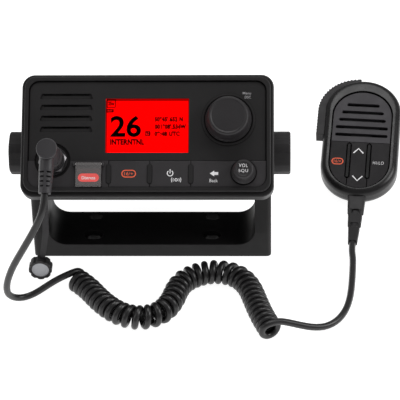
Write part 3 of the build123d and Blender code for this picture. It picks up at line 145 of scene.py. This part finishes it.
def paint_groove_shade(tree, shader, spec, reach_mm):
    """Painted shade: less shine in grooves and corners, where they lie in shade."""
    shade = tree.nodes.new("ShaderNodeAmbientOcclusion")
    shade.samples = 8
    shade.inputs["Distance"].default_value = reach_mm / 1000
    dulled = spread(tree, shade.outputs["AO"], GROOVE_SPEC, spec, *GROOVE_OPEN)
    tree.links.new(dulled, shader.inputs["Specular IOR Level"])


def soft_edges(tree, radius_mm):
    """Normals that round the sharp edges a little."""
    node = tree.nodes.new("ShaderNodeBevel")
    node.samples = 6
    node.inputs["Radius"].default_value = radius_mm / 1000
    return node.outputs[0]


def moulded(name, color, rough, grain_mm, depth_mm, spec, edge_mm=0.35, reach_mm=2.5):
    """Moulded plastic or rubber: spark-eroded grain, soft colour changes, handling marks, and
    painted shade that takes the shine out of grooves.
    """
    mat, tree, shader = new_material(name)
    two_tone(tree, shader, color, shade=0.12, scale=45)
    smudge = noise(tree, scale=120, detail=4.0, rough=0.7)
    tree.links.new(spread(tree, smudge, rough - 0.06, rough + 0.06), shader.inputs["Roughness"])
    grain = noise(tree, scale=1000 / grain_mm, detail=2.0, rough=0.6)
    grained = bump(tree, shader, grain, depth_mm / 1000, strength=0.45)
    tree.links.new(soft_edges(tree, edge_mm), grained.inputs["Normal"])
    # painted shade: the shine drops in grooves and corners
    paint_groove_shade(tree, shader, spec, reach_mm)
    return mat


def paint_recess_shade(mat, place, middle_mm, half_mm, radius_mm, depth_mm):
    """Painted shade: darker and less shiny inside an oblong outline and below this depth, as in a
    deep recess that lies in shade.

    The outline has round ends of the radius, and its straight middle runs half_mm to each side
    of middle_mm along y.
    """
    tree = mat.node_tree
    shader = tree.nodes["Principled BSDF"]

    def result(kind, first, second=0.0):
        node = tree.nodes.new("ShaderNodeMath")
        node.operation = kind
        for socket, value in zip(node.inputs, (first, second)):
            if isinstance(value, float):
                socket.default_value = value
            else:
                tree.links.new(value, socket)
        return node.outputs[0]

    where = tree.nodes.new("ShaderNodeNewGeometry")
    local = tree.nodes.new("ShaderNodeMapping")
    local.vector_type = "TEXTURE"
    local.inputs["Location"].default_value = place.translation
    local.inputs["Rotation"].default_value = place.to_euler()
    tree.links.new(where.outputs["Position"], local.inputs["Vector"])
    axes = tree.nodes.new("ShaderNodeSeparateXYZ")
    tree.links.new(local.outputs["Vector"], axes.inputs[0])
    x, y, z = axes.outputs
    along = result("ABSOLUTE", result("SUBTRACT", y, middle_mm / 1000))
    past = result("MAXIMUM", result("SUBTRACT", along, half_mm / 1000))
    reach = result("SQRT", result("ADD", result("MULTIPLY", x, x), result("MULTIPLY", past, past)))
    radius, floor_z = radius_mm / 1000, -depth_mm / 1000
    inside = spread(tree, reach, 1.0, 0.0, radius, radius + RECESS_EDGE)
    deep = spread(tree, z, 1.0, 0.0, floor_z - RECESS_EDGE, floor_z + RECESS_EDGE)
    shade = result("MULTIPLY", result("MULTIPLY", inside, deep), RECESS_SHADE)
    share = result("SUBTRACT", 1.0, shade)
    for name in ("Base Color", "Specular IOR Level"):
        scale = tree.nodes.new("ShaderNodeVectorMath")
        scale.operation = "SCALE"
        tree.links.new(shader.inputs[name].links[0].from_socket, scale.inputs[0])
        tree.links.new(share, scale.inputs["Scale"])
        tree.links.new(scale.outputs["Vector"], shader.inputs[name])
    return mat


def metal(name, color, rough, line_scale=900):
    """Machined metal: fine turning marks in its roughness and its surface."""
    mat, tree, shader = new_material(name)
    two_tone(tree, shader, color, shade=0.08, scale=160)
    marks = noise(tree, line_scale, detail=6.0, rough=0.7)
    tree.links.new(spread(tree, marks, rough - 0.08, rough + 0.1), shader.inputs["Roughness"])
    bump(tree, shader, marks, depth=0.00002, strength=0.5)
    shader.inputs["Metallic"].default_value = 1.0
    return mat


def clear(name, color, alpha, rough, spec):
    """Clear or smoky pane: seen through, with faint wipe marks in its gloss."""
    mat, tree, shader = new_material(name)
    shader.inputs["Base Color"].default_value = list(color) + [1]
    shader.inputs["Alpha"].default_value = alpha
    shader.inputs["Specular IOR Level"].default_value = spec
    wipe = noise(tree, scale=200, detail=5.0, rough=0.7)
    tree.links.new(spread(tree, wipe, rough, rough + 0.08), shader.inputs["Roughness"])
    return mat


def ink(name, color, glow=0.0, spec=0.2):
    """Screen-printed ink, or a lit segment if it glows."""
    mat, tree, shader = new_material(name)
    two_tone(tree, shader, color, shade=0.04, scale=400)
    shader.inputs["Roughness"].default_value = 0.55
    shader.inputs["Specular IOR Level"].default_value = spec
    if glow:
        shader.inputs["Emission Color"].default_value = list(color) + [1]
        shader.inputs["Emission Strength"].default_value = glow
    return mat


def backlit(name, color, glow):
    """Backlit display: even red light with the faint dots of its pixels."""
    mat, tree, shader = new_material(name)
    coords = tree.nodes.new("ShaderNodeTexCoord")
    dots = tree.nodes.new("ShaderNodeTexVoronoi")
    dots.inputs["Scale"].default_value = LCD_DOTS
    dots.inputs["Randomness"].default_value = 0.0
    tree.links.new(coords.outputs["Object"], dots.inputs["Vector"])
    shader.inputs["Base Color"].default_value = list(color) + [1]
    shader.inputs["Roughness"].default_value = 0.6
    shader.inputs["Specular IOR Level"].default_value = 0.0
    shader.inputs["Emission Color"].default_value = list(color) + [1]
    light = spread(tree, dots.outputs["Distance"], glow, glow * 0.93, 0.1, 0.6)
    tree.links.new(light, shader.inputs["Emission Strength"])
    return mat


def solder_mask(name):
    """Circuit board: green lacquer over copper tracks."""
    mat, tree, shader = new_material(name)
    coords = tree.nodes.new("ShaderNodeTexCoord")
    tracks = tree.nodes.new("ShaderNodeTexBrick")
    tracks.inputs["Scale"].default_value = 260
    tracks.inputs["Color1"].default_value = (0.012, 0.09, 0.035, 1)
    tracks.inputs["Color2"].default_value = (0.02, 0.13, 0.05, 1)
    tracks.inputs["Mortar"].default_value = (0.03, 0.17, 0.07, 1)
    tree.links.new(coords.outputs["Object"], tracks.inputs["Vector"])
    tree.links.new(tracks.outputs["Color"], shader.inputs["Base Color"])
    shader.inputs["Roughness"].default_value = 0.3
    return mat


MIC_SHELL = ((0.0080, 0.0074, 0.0078), 0.30, 0.35, 0.012, 0.36)
# moulded: name, colour, roughness, width and depth of the grain in mm, shine
MATERIALS = {
    "panel": moulded("bezel_plastic", (0.0125, 0.0115, 0.012), 0.55, 0.3, 0.02, 0.30),
    "frame": moulded("frame_coat", (0.0125, 0.0115, 0.0120), 0.46, 0.5, 0.02, 0.28),
    "chassis": moulded("chassis_powder_coat", (0.016, 0.016, 0.018), 0.5, 0.7, 0.06, 0.4),
    "bracket": moulded("bracket_plastic", (0.0095, 0.0088, 0.0092), 0.48, 0.45, 0.03, 0.24,
                       edge_mm=0.9, reach_mm=0.5),
    "band": moulded("key_band", (0.030, 0.0275, 0.0295), 0.5, 0.25, 0.015, 0.35),
    "knob": moulded("knob_rubber", (0.017, 0.0155, 0.0165), 0.62, 0.3, 0.03, 0.3),
    "cap": moulded("knob_cap", (0.020, 0.018, 0.0195), 0.45, 0.25, 0.02, 0.4),
    "rubber": moulded("soft_rubber", (0.022, 0.0205, 0.022), 0.55, 0.3, 0.02, 0.35),
    "plug": moulded("plug_moulding", (0.036, 0.034, 0.037), 0.42, 0.3, 0.015, 0.45),
    "mic_back": moulded("microphone_back", *MIC_SHELL),
    "relief": moulded("microphone_relief", (0.017, 0.016, 0.017), 0.5, 0.3, 0.015, 0.35),
    "cord": moulded("cord_jacket", (0.011, 0.0102, 0.0108), 0.33, 0.6, 0.01, 0.5),
    # painted shade: the shell is darker and less shiny in the recess round its key panel
    "mic": paint_recess_shade(moulded("microphone_shell", *MIC_SHELL), MIC, middle_mm=50.8, half_mm=22.0,
                       radius_mm=23.5, depth_mm=0.4),
    "grille": moulded("microphone_grille", (0.041, 0.038, 0.043), 0.55, 0.3, 0.02, 0.35),
    "keys": moulded("microphone_keys", (0.0140, 0.0125, 0.0138), 0.6, 0.3, 0.015, 0.22),
    "seal": moulded("seal_rubber", (0.47, 0.475, 0.50), 0.55, 0.4, 0.02, 0.35),
    "foam": moulded("foam_gasket", (0.02, 0.02, 0.02), 0.9, 0.6, 0.2, 0.2),
    "nylon": moulded("washer_nylon", (0.04, 0.04, 0.042), 0.5, 0.4, 0.01, 0.4),
    "dark": moulded("dark_fitting", (0.012, 0.012, 0.013), 0.45, 0.4, 0.01, 0.4),
    "paper": moulded("cone_paper", (0.03, 0.03, 0.03), 0.85, 0.8, 0.1, 0.2),
    "red": moulded("button_red", (0.55, 0.035, 0.03), 0.4, 0.3, 0.01, 0.4),
    "black_metal": metal("black_oxide", (0.15, 0.145, 0.15), 0.34),
    "steel": metal("stainless_steel", (0.55, 0.54, 0.53), 0.3),
    "nickel": metal("nickel_plate", (0.68, 0.66, 0.62), 0.22),
    "tin": metal("tinned_steel", (0.6, 0.6, 0.6), 0.35, line_scale=500),
    "window": clear("display_window", (0.004, 0.004, 0.004), alpha=0.04, rough=0.03, spec=0.2),
    "smoky": clear("smoky_cover", (0.19, 0.18, 0.18), alpha=0.60, rough=0.10, spec=0.5),
    "lcd": backlit("lcd_red", (1.0, 0.0, 0.0), glow=1.0),
    "board": solder_mask("circuit_board"),
    "white": ink("print_white", (0.95, 0.94, 0.95)),
    "grey": ink("print_grey", (0.42, 0.41, 0.42)),
    "orange": ink("print_orange", (0.92, 0.15, 0.07)),
    "pill": ink("print_red", (0.98, 0.135, 0.125)),
    "segment": ink("lcd_segment", (0.001, 0.0, 0.0), spec=0.0),
    "lit": ink("lcd_lit", (1.0, 0.0, 0.0), glow=1.0),
    # the dim ink is painted shadow: a darker glow where the edge of the window shades the lit
    # display
    "dim": ink("lcd_edge", (0.30, 0.0, 0.0), glow=1.0, spec=0.0),
}
NODE_LOOKS = {
    "bracket": ("trunnion_bracket",),
    "nylon": ("friction_washers",),
    "knob": ("clamp_knob_left", "clamp_knob_right"),
    "cap": ("channel_knob", "volume_knob"),
    "steel": ("clamp_stud_left", "clamp_stud_right", "housing_screws", "channel_shaft",
              "volume_shaft", "distress_cover_pin", "mic_screws"),
    "panel": ("front_bezel",),
    "frame": ("front_frame",),
    "chassis": ("rear_chassis",),
    "foam": ("front_gasket", "display_gasket"),
    "band": ("band_panel_left", "key_16", "key_power", "key_back"),
    "window": ("display_window",),
    "lcd": ("lcd_module",),
    "board": ("front_board", "main_board", "mic_board"),
    "dark": ("key_switches", "speaker_frame", "channel_encoder", "volume_encoder", "mic_element",
             "mic_ptt_pin"),
    "paper": ("speaker_cone",),
    "smoky": ("distress_cover",),
    "red": ("distress_button",),
    "black_metal": ("mic_socket", "socket_nut"),
    "rubber": ("plug_coupling_ring", "dust_cap", "power_gland", "accessory_socket", "mic_ptt"),
    "plug": ("plug_body", "plug_relief"),
    "seal": ("dust_cap_seal",),
    "tin": ("rf_shield",),
    "nickel": ("antenna_socket", "mic_hang_stud"),
    "mic": ("mic_front_shell",),
    "mic_back": ("mic_rear_shell",),
    "grille": ("mic_grille",),
    "keys": ("mic_key_16", "mic_rocker", "mic_key_power_level"),
    "relief": ("mic_relief",),
}
for look, names in NODE_LOOKS.items():
    for name in names:
        NODES[name].data.materials.clear()
        NODES[name].data.materials.append(MATERIALS[look])


# ---------------------------------------------------------------- pieces
RAY_LENGTH = 0.15  # how far in front of its sheet a decal looks for its node
LEVEL_LIMIT = 0.0012  # how far from its middle height a decal follows the surface


def piece(name, mesh, look, body):
    """Object of one look in one slot, which rides a body if it is given one."""
    obj = bpy.data.objects.new(name, mesh)
    bpy.context.scene.collection.objects.link(obj)
    mesh.materials.clear()
    mesh.materials.append(MATERIALS[look])
    if body:
        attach(obj, body)
    return obj


def mesh_of(obj):
    """Plain mesh of a curve or text object, which is then removed."""
    bpy.context.scene.collection.objects.link(obj)
    bpy.context.view_layer.update()
    deps = bpy.context.evaluated_depsgraph_get()
    mesh = bpy.data.meshes.new_from_object(obj.evaluated_get(deps))
    data = obj.data
    bpy.data.objects.remove(obj)
    bpy.data.curves.remove(data)
    return mesh


def words(text, width, height, weight=0.0, spacing=1.0):
    """Flat lettering, drawn to a width and a height from its lowest to its highest point."""
    curve = bpy.data.curves.new("words", "FONT")
    curve.body = text
    curve.align_x = "CENTER"
    curve.resolution_u = 4
    curve.offset = weight
    curve.space_character = spacing
    mesh = mesh_of(bpy.data.objects.new("words", curve))
    xs = [v.co.x for v in mesh.vertices]
    ys = [v.co.y for v in mesh.vertices]
    fit = Matrix.Diagonal((width / (max(xs) - min(xs)), height / (max(ys) - min(ys)), 1, 1))
    centre = Vector(((max(xs) + min(xs)) / 2, (max(ys) + min(ys)) / 2, 0))
    mesh.transform(fit @ Matrix.Translation(-centre))
    return mesh


def flat_shape(outlines):
    """Flat faces in the xy plane, one for each closed outline."""
    bm = bmesh.new()
    for outline in outlines:
        bm.faces.new([bm.verts.new((x, y, 0)) for x, y in outline])
    mesh = bpy.data.meshes.new("flat")
    bm.to_mesh(mesh)
    bm.free()
    return mesh


def strip(path, width, closed=False):
    """Quads along a path, of one width."""
    count = len(path)
    sides = []
    for i, (x, y) in enumerate(path):
        before = path[i - 1] if i or closed else path[0]
        after = path[(i + 1) % count] if i < count - 1 or closed else path[-1]
        dx, dy = after[0] - before[0], after[1] - before[1]
        size = math.hypot(dx, dy)
        nx, ny = -dy / size * width / 2, dx / size * width / 2
        sides.append(((x + nx, y + ny), (x - nx, y - ny)))
    outlines = []
    for i in range(count if closed else count - 1):
        a, b = sides[i], sides[(i + 1) % count]
        outlines.append((a[0], a[1], b[1], b[0]))
    return outlines


def block(left, low, right, high):
    """Outline of an upright rectangle."""
    return [(left, low), (right, low), (right, high), (left, high)]


def box(half_width, half_height):
    """Outline of a rectangle round the middle."""
    return block(-half_width, -half_height, half_width, half_height)


def arc(x, y, radius, start, end, steps):
    """Points on an arc, with its angles in degrees."""
    turns = [math.radians(start + (end - start) * i / steps) for i in range(steps + 1)]
    return [(x + radius * math.cos(turn), y + radius * math.sin(turn)) for turn in turns]


def pill_path(width, height):
    """Outline of a lying oblong with round ends."""
    half = width / 2 - height / 2
    return arc(half, 0, height / 2, -90, 90, 12) + arc(-half, 0, height / 2, 90, 270, 12)


def joined(*meshes):
    """One mesh from several."""
    bm = bmesh.new()
    for mesh in meshes:
        bm.from_mesh(mesh)
    out = bpy.data.meshes.new("joined")
    bm.to_mesh(out)
    bm.free()
    return out


def moved(mesh, x, y):
    mesh.transform(Matrix.Translation((x, y, 0)))
    return mesh


TREES = {}


def tree_of(node):
    """Search tree of a node's faces, made once."""
    if node not in TREES:
        data = NODES[node].data
        data.calc_loop_triangles()
        points = [NODES[node].matrix_world @ v.co for v in data.vertices]
        TREES[node] = BVHTree.FromPolygons(points, [list(t.vertices) for t in data.loop_triangles])
    return TREES[node]


def decal(name, mesh, sheet, x, y, node, look, body, lift_mm=0.04):
    """Print on a node's surface: a flat mesh in mm, laid on it from the front of its sheet.

    A point that misses the node, or meets it far from the middle height, goes to that height.
    """
    place = sheet @ Matrix.Translation(mm(x, y, 0)) @ Matrix.Scale(0.001, 4)
    mesh.transform(place)
    out = (sheet.to_3x3() @ Vector((0, 0, 1))).normalized()
    hits = [tree_of(node).ray_cast(v.co + out * RAY_LENGTH, -out)[0] for v in mesh.vertices]
    heights = sorted(hit.dot(out) for hit in hits if hit is not None)
    level = heights[len(heights) // 2]
    for v, hit in zip(mesh.vertices, hits):
        height = level if hit is None or abs(hit.dot(out) - level) > LEVEL_LIMIT else hit.dot(out)
        v.co += out * (height + lift_mm / 1000 - v.co.dot(out))
    piece(name, mesh, look, body)


# ---------------------------------------------------------------- display
LCD_Y = 11.2
LCD_HALF = (29.6, 19.8)
BORDER_HALF = (33.3, 23.5)
SHADE_TOP = 18.6
LIT_LIFT = 0.09
# name, text, width, height, weight, spacing, x, y
LCD_TEXTS = (
    ("lcd_channel_number", "26", 22.0, 15.8, 0.024, 1.0, -15.5, 11.3),
    ("lcd_band_name", "INTERNTNL", 24.5, 4.3, 0.056, 1.06, -14.3, -0.1),
    ("lcd_latitude", "50°45'.652 N", 20.3, 3.8, 0.067, 1.12, 15.1, 16.5),
    ("lcd_longitude", "001°08'.534W", 22.4, 3.8, 0.067, 1.12, 16.3, 11.1),
    ("lcd_time", "09:48 UTC", 18.1, 3.7, 0.067, 1.12, 14.0, 5.8),
)


def on_lcd(name, mesh, x, y, look="segment", lift_mm=0.05):
    decal(name, mesh, FACE, x, y, "lcd_module", look, "radio", lift_mm)


for name, text, width, height, weight, spacing, x, y in LCD_TEXTS:
    on_lcd(name, words(text, width, height, weight, spacing), x, y)
box_lines = flat_shape(strip(box(2.95, 2.75), 0.85, True))
on_lcd("lcd_power_box", joined(box_lines, words("25w", 4.6, 2.9, 0.045)), -26.0, 28.0)
on_lcd("lcd_mode_box", flat_shape([box(2.6, 1.3)]), -26.85, 22.7)
on_lcd("lcd_mode_letters", words("INT", 3.6, 1.5), -26.85, 22.7, "lit", LIT_LIFT)
on_lcd("lcd_satellite_box", flat_shape([box(1.95, 1.8)]), 0.3, 6.0)
dish = flat_shape(strip(arc(0, 0, 1.1, 150, 330, 10), 0.4) + strip([(0, 0), (0.9, 0.9)], 0.4))
on_lcd("lcd_satellite_sign", dish, 0.2, 6.1, "lit", LIT_LIFT)
# painted shadow: the lit area is darker along its top and its sides, where the edge of the window
# shades it
half_width, half_height = LCD_HALF
shade = flat_shape([block(-half_width, SHADE_TOP, half_width, 20.4),
                    block(-30.2, -half_height, -28.8, SHADE_TOP),
                    block(28.9, -half_height, 30.2, SHADE_TOP)])
on_lcd("lcd_edge_shade", shade, 0, LCD_Y, "dim", 0.03)

outer, inner = box(*BORDER_HALF), box(*LCD_HALF)
border = flat_shape([(outer[i - 1], outer[i], inner[i], inner[i - 1]) for i in (1, 2, 3, 0)])
decal("window_border", border, FACE, 0, LCD_Y, "display_window", "panel", "radio",
      0.02)


# ---------------------------------------------------------------- lettering on the front
def on_face(name, mesh, x, y, node, body, look="white"):
    decal(name, mesh, FACE, x, y, node, look, body)


def on_key(name, mesh, x, y, key, look="white"):
    on_face(name, mesh, x, y, key, key, look)


def pill_sign(width, height, line, letters):
    """Letters in a ring with round ends."""
    ring = flat_shape(strip(pill_path(width - line, height - line), line, True))
    return joined(ring, words(letters, width * 0.60, height * 0.44))


def two_lines(upper, lower, apart):
    """Two meshes, half the distance above and below the middle."""
    return joined(moved(upper, 0, apart / 2), moved(lower, 0, -apart / 2))


on_key("print_16", pill_sign(10.4, 5.6, 0.75, "16/+"), -12.7, -23.9, "key_16", "orange")
power = strip(arc(0, 0, 2.0, 125, 415, 26), 0.62) + strip([(0, -0.1), (0, 2.9)], 0.62)
on_key("print_power", flat_shape(power), 16.6, -23.6, "key_power")
lamp = strip(arc(0, 0, 0.9, 0, 345, 18), 0.5, True)
for radius in (2.2, 3.4):
    for start in (150, -30):
        lamp += strip(arc(0, 0, radius, start, start + 60, 8), 0.42)
on_key("print_dim", flat_shape(lamp), 20.9, -28.4, "key_power")
arrow = flat_shape([((-3.0, 0), (0.2, -2.1), (0.2, 2.1)), block(0.2, -1.05, 3.0, 1.05)])
on_key("print_arrow", arrow, 47.6, -23.8, "key_back")
on_key("print_back", words("Back", 5.9, 2.4), 47.4, -28.9, "key_back")
menu = two_lines(words("Menu", 5.8, 1.9, 0.006), moved(words("DSC", 4.4, 1.9, 0.006), 0.7, 0), 2.9)
on_face("print_menu", menu, 70.7, 33.2, "front_bezel", "radio", "grey")
volume = two_lines(words("VOL", 6.2, 2.5, -0.006, 1.15), words("SQU", 6.6, 2.5, -0.006, 1.15), 3.9)
on_face("print_volume", volume, 68.5, -22.6, "volume_knob", "volume_knob", "white")
pill = flat_shape([pill_path(15.0, 6.0)])
on_face("print_distress_pill", pill, -41.0, -27.2, "distress_cover", "distress_cover", "pill")
decal("print_distress", words("Distress", 9.6, 2.3, 0.008), FACE, -41.0, -27.3, "distress_cover",
      "white", "distress_cover", 0.08)


# ---------------------------------------------------------------- lettering on the microphone
def on_mic(name, mesh, x, y, key, look="white"):
    decal(name, mesh, MIC, x, y, key, look, key)


def chevron(low, high):
    """Arrow of two strokes, its ends at one height and its point at the other."""
    return flat_shape(strip([(-3.8, low), (0, high), (3.8, low)], 1.0))


on_mic("mic_print_16", pill_sign(9.2, 6.1, 0.8, "16/+"), -16.6, 29.5, "mic_key_16", "orange")
on_mic("mic_print_up", chevron(-2.4, 1.9), -1.1, 40.2, "mic_rocker")
on_mic("mic_print_down", chevron(2.4, -1.9), -0.5, 14.4, "mic_rocker")
on_mic("mic_print_power", words("HI/LO", 8.2, 2.8, -0.006, 1.22), 14.7, 29.7, "mic_key_power_level")


# ---------------------------------------------------------------- dust cap strap
STRAP_EDGE = 0.004
STRAP_CUTS = 3


def strap_mesh():
    """The strap of the part, cut finer."""
    mesh = NODES["dust_cap_strap"].data.copy()
    mesh.transform(NODES["dust_cap_strap"].matrix_world)
    bm = bmesh.new()
    bm.from_mesh(mesh)
    bmesh.ops.remove_doubles(bm, verts=bm.verts, dist=1e-6)
    for _ in range(STRAP_CUTS):
        long_edges = [e for e in bm.edges if e.calc_length() > STRAP_EDGE]
        if long_edges:
            bmesh.ops.subdivide_edges(bm, edges=long_edges, cuts=1)
    bmesh.ops.triangulate(bm, faces=bm.faces)
    bm.to_mesh(mesh)
    bm.free()
    return mesh


strap = piece("strap", strap_mesh(), "rubber", None)
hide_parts("dust_cap_strap")
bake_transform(strap)

# ---------------------------------------------------------------- cord
CORD_R = 2.5
COIL_R = 9.1
COIL_Z = COIL_R + 0.05
COIL_STEP = 0.25  # along the middle of the coil
BEND_SPAN = 24  # steps to each side over which a bend is measured
POINTS_PER_TURN = 14
TOUCHING = 1.99 * CORD_R  # pitch at which two turns touch
TOUCHING_R = COIL_R - 1.55 * CORD_R  # how far from the coil's middle they do so in a bend
SLACK = 0.1
CORD_RESOLUTION = 3
PLUG_ROUTE = [
    (-68.38, -82.89, 105.15), (-68.70, -88.08, 100.47), (-71.4, -92.2, 91.5),
    (-77.8, -93.7, 78.6), (-86.2, -92.5, 62.4), (-94.7, -89.6, 45.0), (-100.0, -86.2, 29.0),
    (-101.4, -82.5, 17.4), (-99.9, -78.8, 10.2), (-96.0, -75.2, 5.2), (-90.2, -71.9, 3.0),
    (-82.8, -68.9, 4.4), (-74.8, -66.6, 9.2), (-67.4, -64.6, 13.4), (-60.8, -61.7, 15.3),
    (-54.2, -57.8, 15.7),
]
COIL_ROUTE = [(x, y, COIL_Z) for x, y in (
    (-54.7, -58.1), (-45.6, -66.5), (-36, -81), (-27, -91.5), (-18, -98.5), (-7.6, -102),
    (2.5, -100.5), (11.5, -94.5), (17.5, -82), (19.5, -72), (24, -61), (34, -53), (46, -49.5),
    (58, -51.5), (67, -58), (73, -69), (76.5, -82), (80.5, -96), (84, -105.6), (87.8, -114.7),
)]
MIC_ROUTE = [
    (86.6, -114.3, 15.7), (92.9, -111.8, 15.0), (100.5, -110.5, 12.4), (109.0, -109.4, 8.9),
    (118.1, -107.6, 5.4), (127.2, -103.8, 3.0), (135.1, -96.8, 2.5), (140.6, -87.1, 2.5),
    (144.0, -75.6, 2.5), (145.9, -63.2, 2.5), (147.0, -50.3, 2.5), (147.8, -37.6, 2.5),
    (148.4, -25.4, 2.5), (147.69, -16.39, 2.91), (148.52, -7.43, 2.91),
]


def cord_curve(points, bevel_mm, resolution):
    """Smooth line with the route's points as its control points, in metres."""
    curve = bpy.data.curves.new("cord", "CURVE")
    curve.dimensions = "3D"
    spline = curve.splines.new("NURBS")
    spline.points.add(len(points) - 1)
    for knot, point in zip(spline.points, points):
        knot.co = list(mm(*point)) + [1]
    spline.order_u = 3
    spline.use_endpoint_u = True
    spline.resolution_u = resolution
    curve.bevel_depth = bevel_mm / 1000
    curve.bevel_resolution = 4
    return bpy.data.objects.new("cord", curve)


def line_of(points, resolution):
    """The smooth line's own points, in mm."""
    return [v.co * 1000 for v in mesh_of(cord_curve(points, 0.0, resolution)).vertices]


def evenly(line, step):
    """Points along a line, a step apart, with their directions."""
    out = []
    left = 0.0  # way still to go to the next point
    for a, b in zip(line, line[1:]):
        size = (b - a).length
        while left < size:
            out.append((a + (b - a) * (left / size), (b - a).normalized()))
            left += step
        left -= size
    return out


def helix():
    """Points of the curly cord: over the far side and under the near side, turn after turn."""
    path = evenly(line_of(COIL_ROUTE, 16), COIL_STEP)
    last = len(path) - 1
    pitches = []
    for i in range(len(path)):
        first, final = max(0, i - BEND_SPAN), min(last, i + BEND_SPAN)
        turning = path[first][1].angle(path[final][1]) / ((final - first) * COIL_STEP)
        room = TOUCHING / (1 - TOUCHING_R * turning)
        share = i / len(path)
        uneven = 0.12 * math.sin(31 * share) + 0.08 * math.sin(57 * share + 1)
        pitches.append(room + SLACK + uneven)
    total = sum(COIL_STEP / pitch for pitch in pitches)
    turns = round(total)
    points = []
    done = wanted = 0.0
    for (centre, along), pitch in zip(path, pitches):
        while done >= wanted - 1e-9 and wanted <= turns:
            phi = math.radians(90) - 2 * math.pi * wanted
            across = Vector((-along.y, along.x, 0)).normalized()
            offset = across * math.cos(phi) + Vector((0, 0, 1)) * math.sin(phi)
            points.append(tuple(centre + offset * (COIL_R - CORD_R)))
            wanted += 1 / POINTS_PER_TURN
        done += COIL_STEP / pitch * turns / total
    print("coil turns", turns, "points", len(points))
    return points


cord_points = PLUG_ROUTE[:-1] + helix() + MIC_ROUTE[1:]
cord_path = [point / 1000 for point in line_of(cord_points, CORD_RESOLUTION)]
cord_mesh = mesh_of(cord_curve(cord_points, CORD_R, CORD_RESOLUTION))
cord = piece("microphone_cord", cord_mesh, "cord", None)
cord.data.shade_smooth()
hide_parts("cord_plug_end", "cord_coil", "cord_mic_end")
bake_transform(cord)


# ---------------------------------------------------------------- floor, light and camera
FLOOR_HALF = 6.0
FLOOR_GLOW = 0.94
SKY = 0.31
LIGHT_AIM = (0, 0, 0.06)
CAMERA_DOWN = 37
CAMERA_SWING = 1.95
CAMERA_PLACE = (0.08846, -1.24583, 0.97595)
FOCAL_PX, PHOTO_PX, SENSOR_MM = 2109.7, 400, 36


def floor():
    """White ground, lit a little from within, as in a cut-out photograph."""
    bm = bmesh.new()
    bmesh.ops.create_grid(bm, x_segments=8, y_segments=8, size=FLOOR_HALF)
    mesh = bpy.data.meshes.new("floor")
    bm.to_mesh(mesh)
    bm.free()
    obj = bpy.data.objects.new("floor", mesh)
    bpy.context.scene.collection.objects.link(obj)
    mat, tree, shader = new_material("floor_white")
    two_tone(tree, shader, (0.5, 0.5, 0.5), shade=0.01, scale=3)
    shader.inputs["Roughness"].default_value = 0.9
    shader.inputs["Specular IOR Level"].default_value = 0.1
    shader.inputs["Emission Color"].default_value = (1, 1, 1, 1)
    shader.inputs["Emission Strength"].default_value = FLOOR_GLOW
    mesh.materials.append(mat)


def softbox(name, place, power, width, height):
    """Large area light that looks at the part."""
    light = bpy.data.lights.new(name, "AREA")
    light.shape = "RECTANGLE"
    light.size = width
    light.size_y = height
    light.energy = power
    obj = bpy.data.objects.new(name, light)
    aim = (Vector(LIGHT_AIM) - Vector(place)).normalized()
    obj.matrix_world = Matrix.Translation(place) @ aim.to_track_quat("-Z", "Y").to_matrix().to_4x4()
    bpy.context.scene.collection.objects.link(obj)


def world():
    """Even white surroundings."""
    sky = bpy.data.worlds.new("studio")
    sky.use_nodes = True
    back = sky.node_tree.nodes["Background"]
    back.inputs["Color"].default_value = (1, 1, 1, 1)
    back.inputs["Strength"].default_value = SKY
    bpy.context.scene.world = sky


def camera():
    """Long lens from the front and above, a little to the right."""
    tip = math.radians(CAMERA_DOWN)
    swing = math.radians(CAMERA_SWING)
    ahead = Vector((0, math.cos(tip), -math.sin(tip)))
    right = Vector((1, 0, 0))
    look = ahead * math.cos(swing) - right * math.sin(swing)
    side = right * math.cos(swing) + ahead * math.sin(swing)
    up = side.cross(look)
    data = bpy.data.cameras.new("camera")
    data.sensor_width = SENSOR_MM
    data.lens = FOCAL_PX / PHOTO_PX * SENSOR_MM
    data.clip_end = 20
    obj = bpy.data.objects.new("camera", data)
    turn = Matrix((side, up, -look)).transposed().to_4x4()
    obj.matrix_world = Matrix.Translation(CAMERA_PLACE) @ turn
    bpy.context.scene.collection.objects.link(obj)
    bpy.context.scene.camera = obj


floor()
world()
softbox("top_light", (0.1, 0.45, 1.7), power=10, width=1.2, height=0.7)
softbox("left_light", (-1.5, -0.4, 0.9), power=3.5, width=0.8, height=1.0)
softbox("right_light", (1.5, -0.1, 1.1), power=12, width=0.7, height=0.9)
camera()
bpy.context.scene.view_settings.view_transform = "Standard"
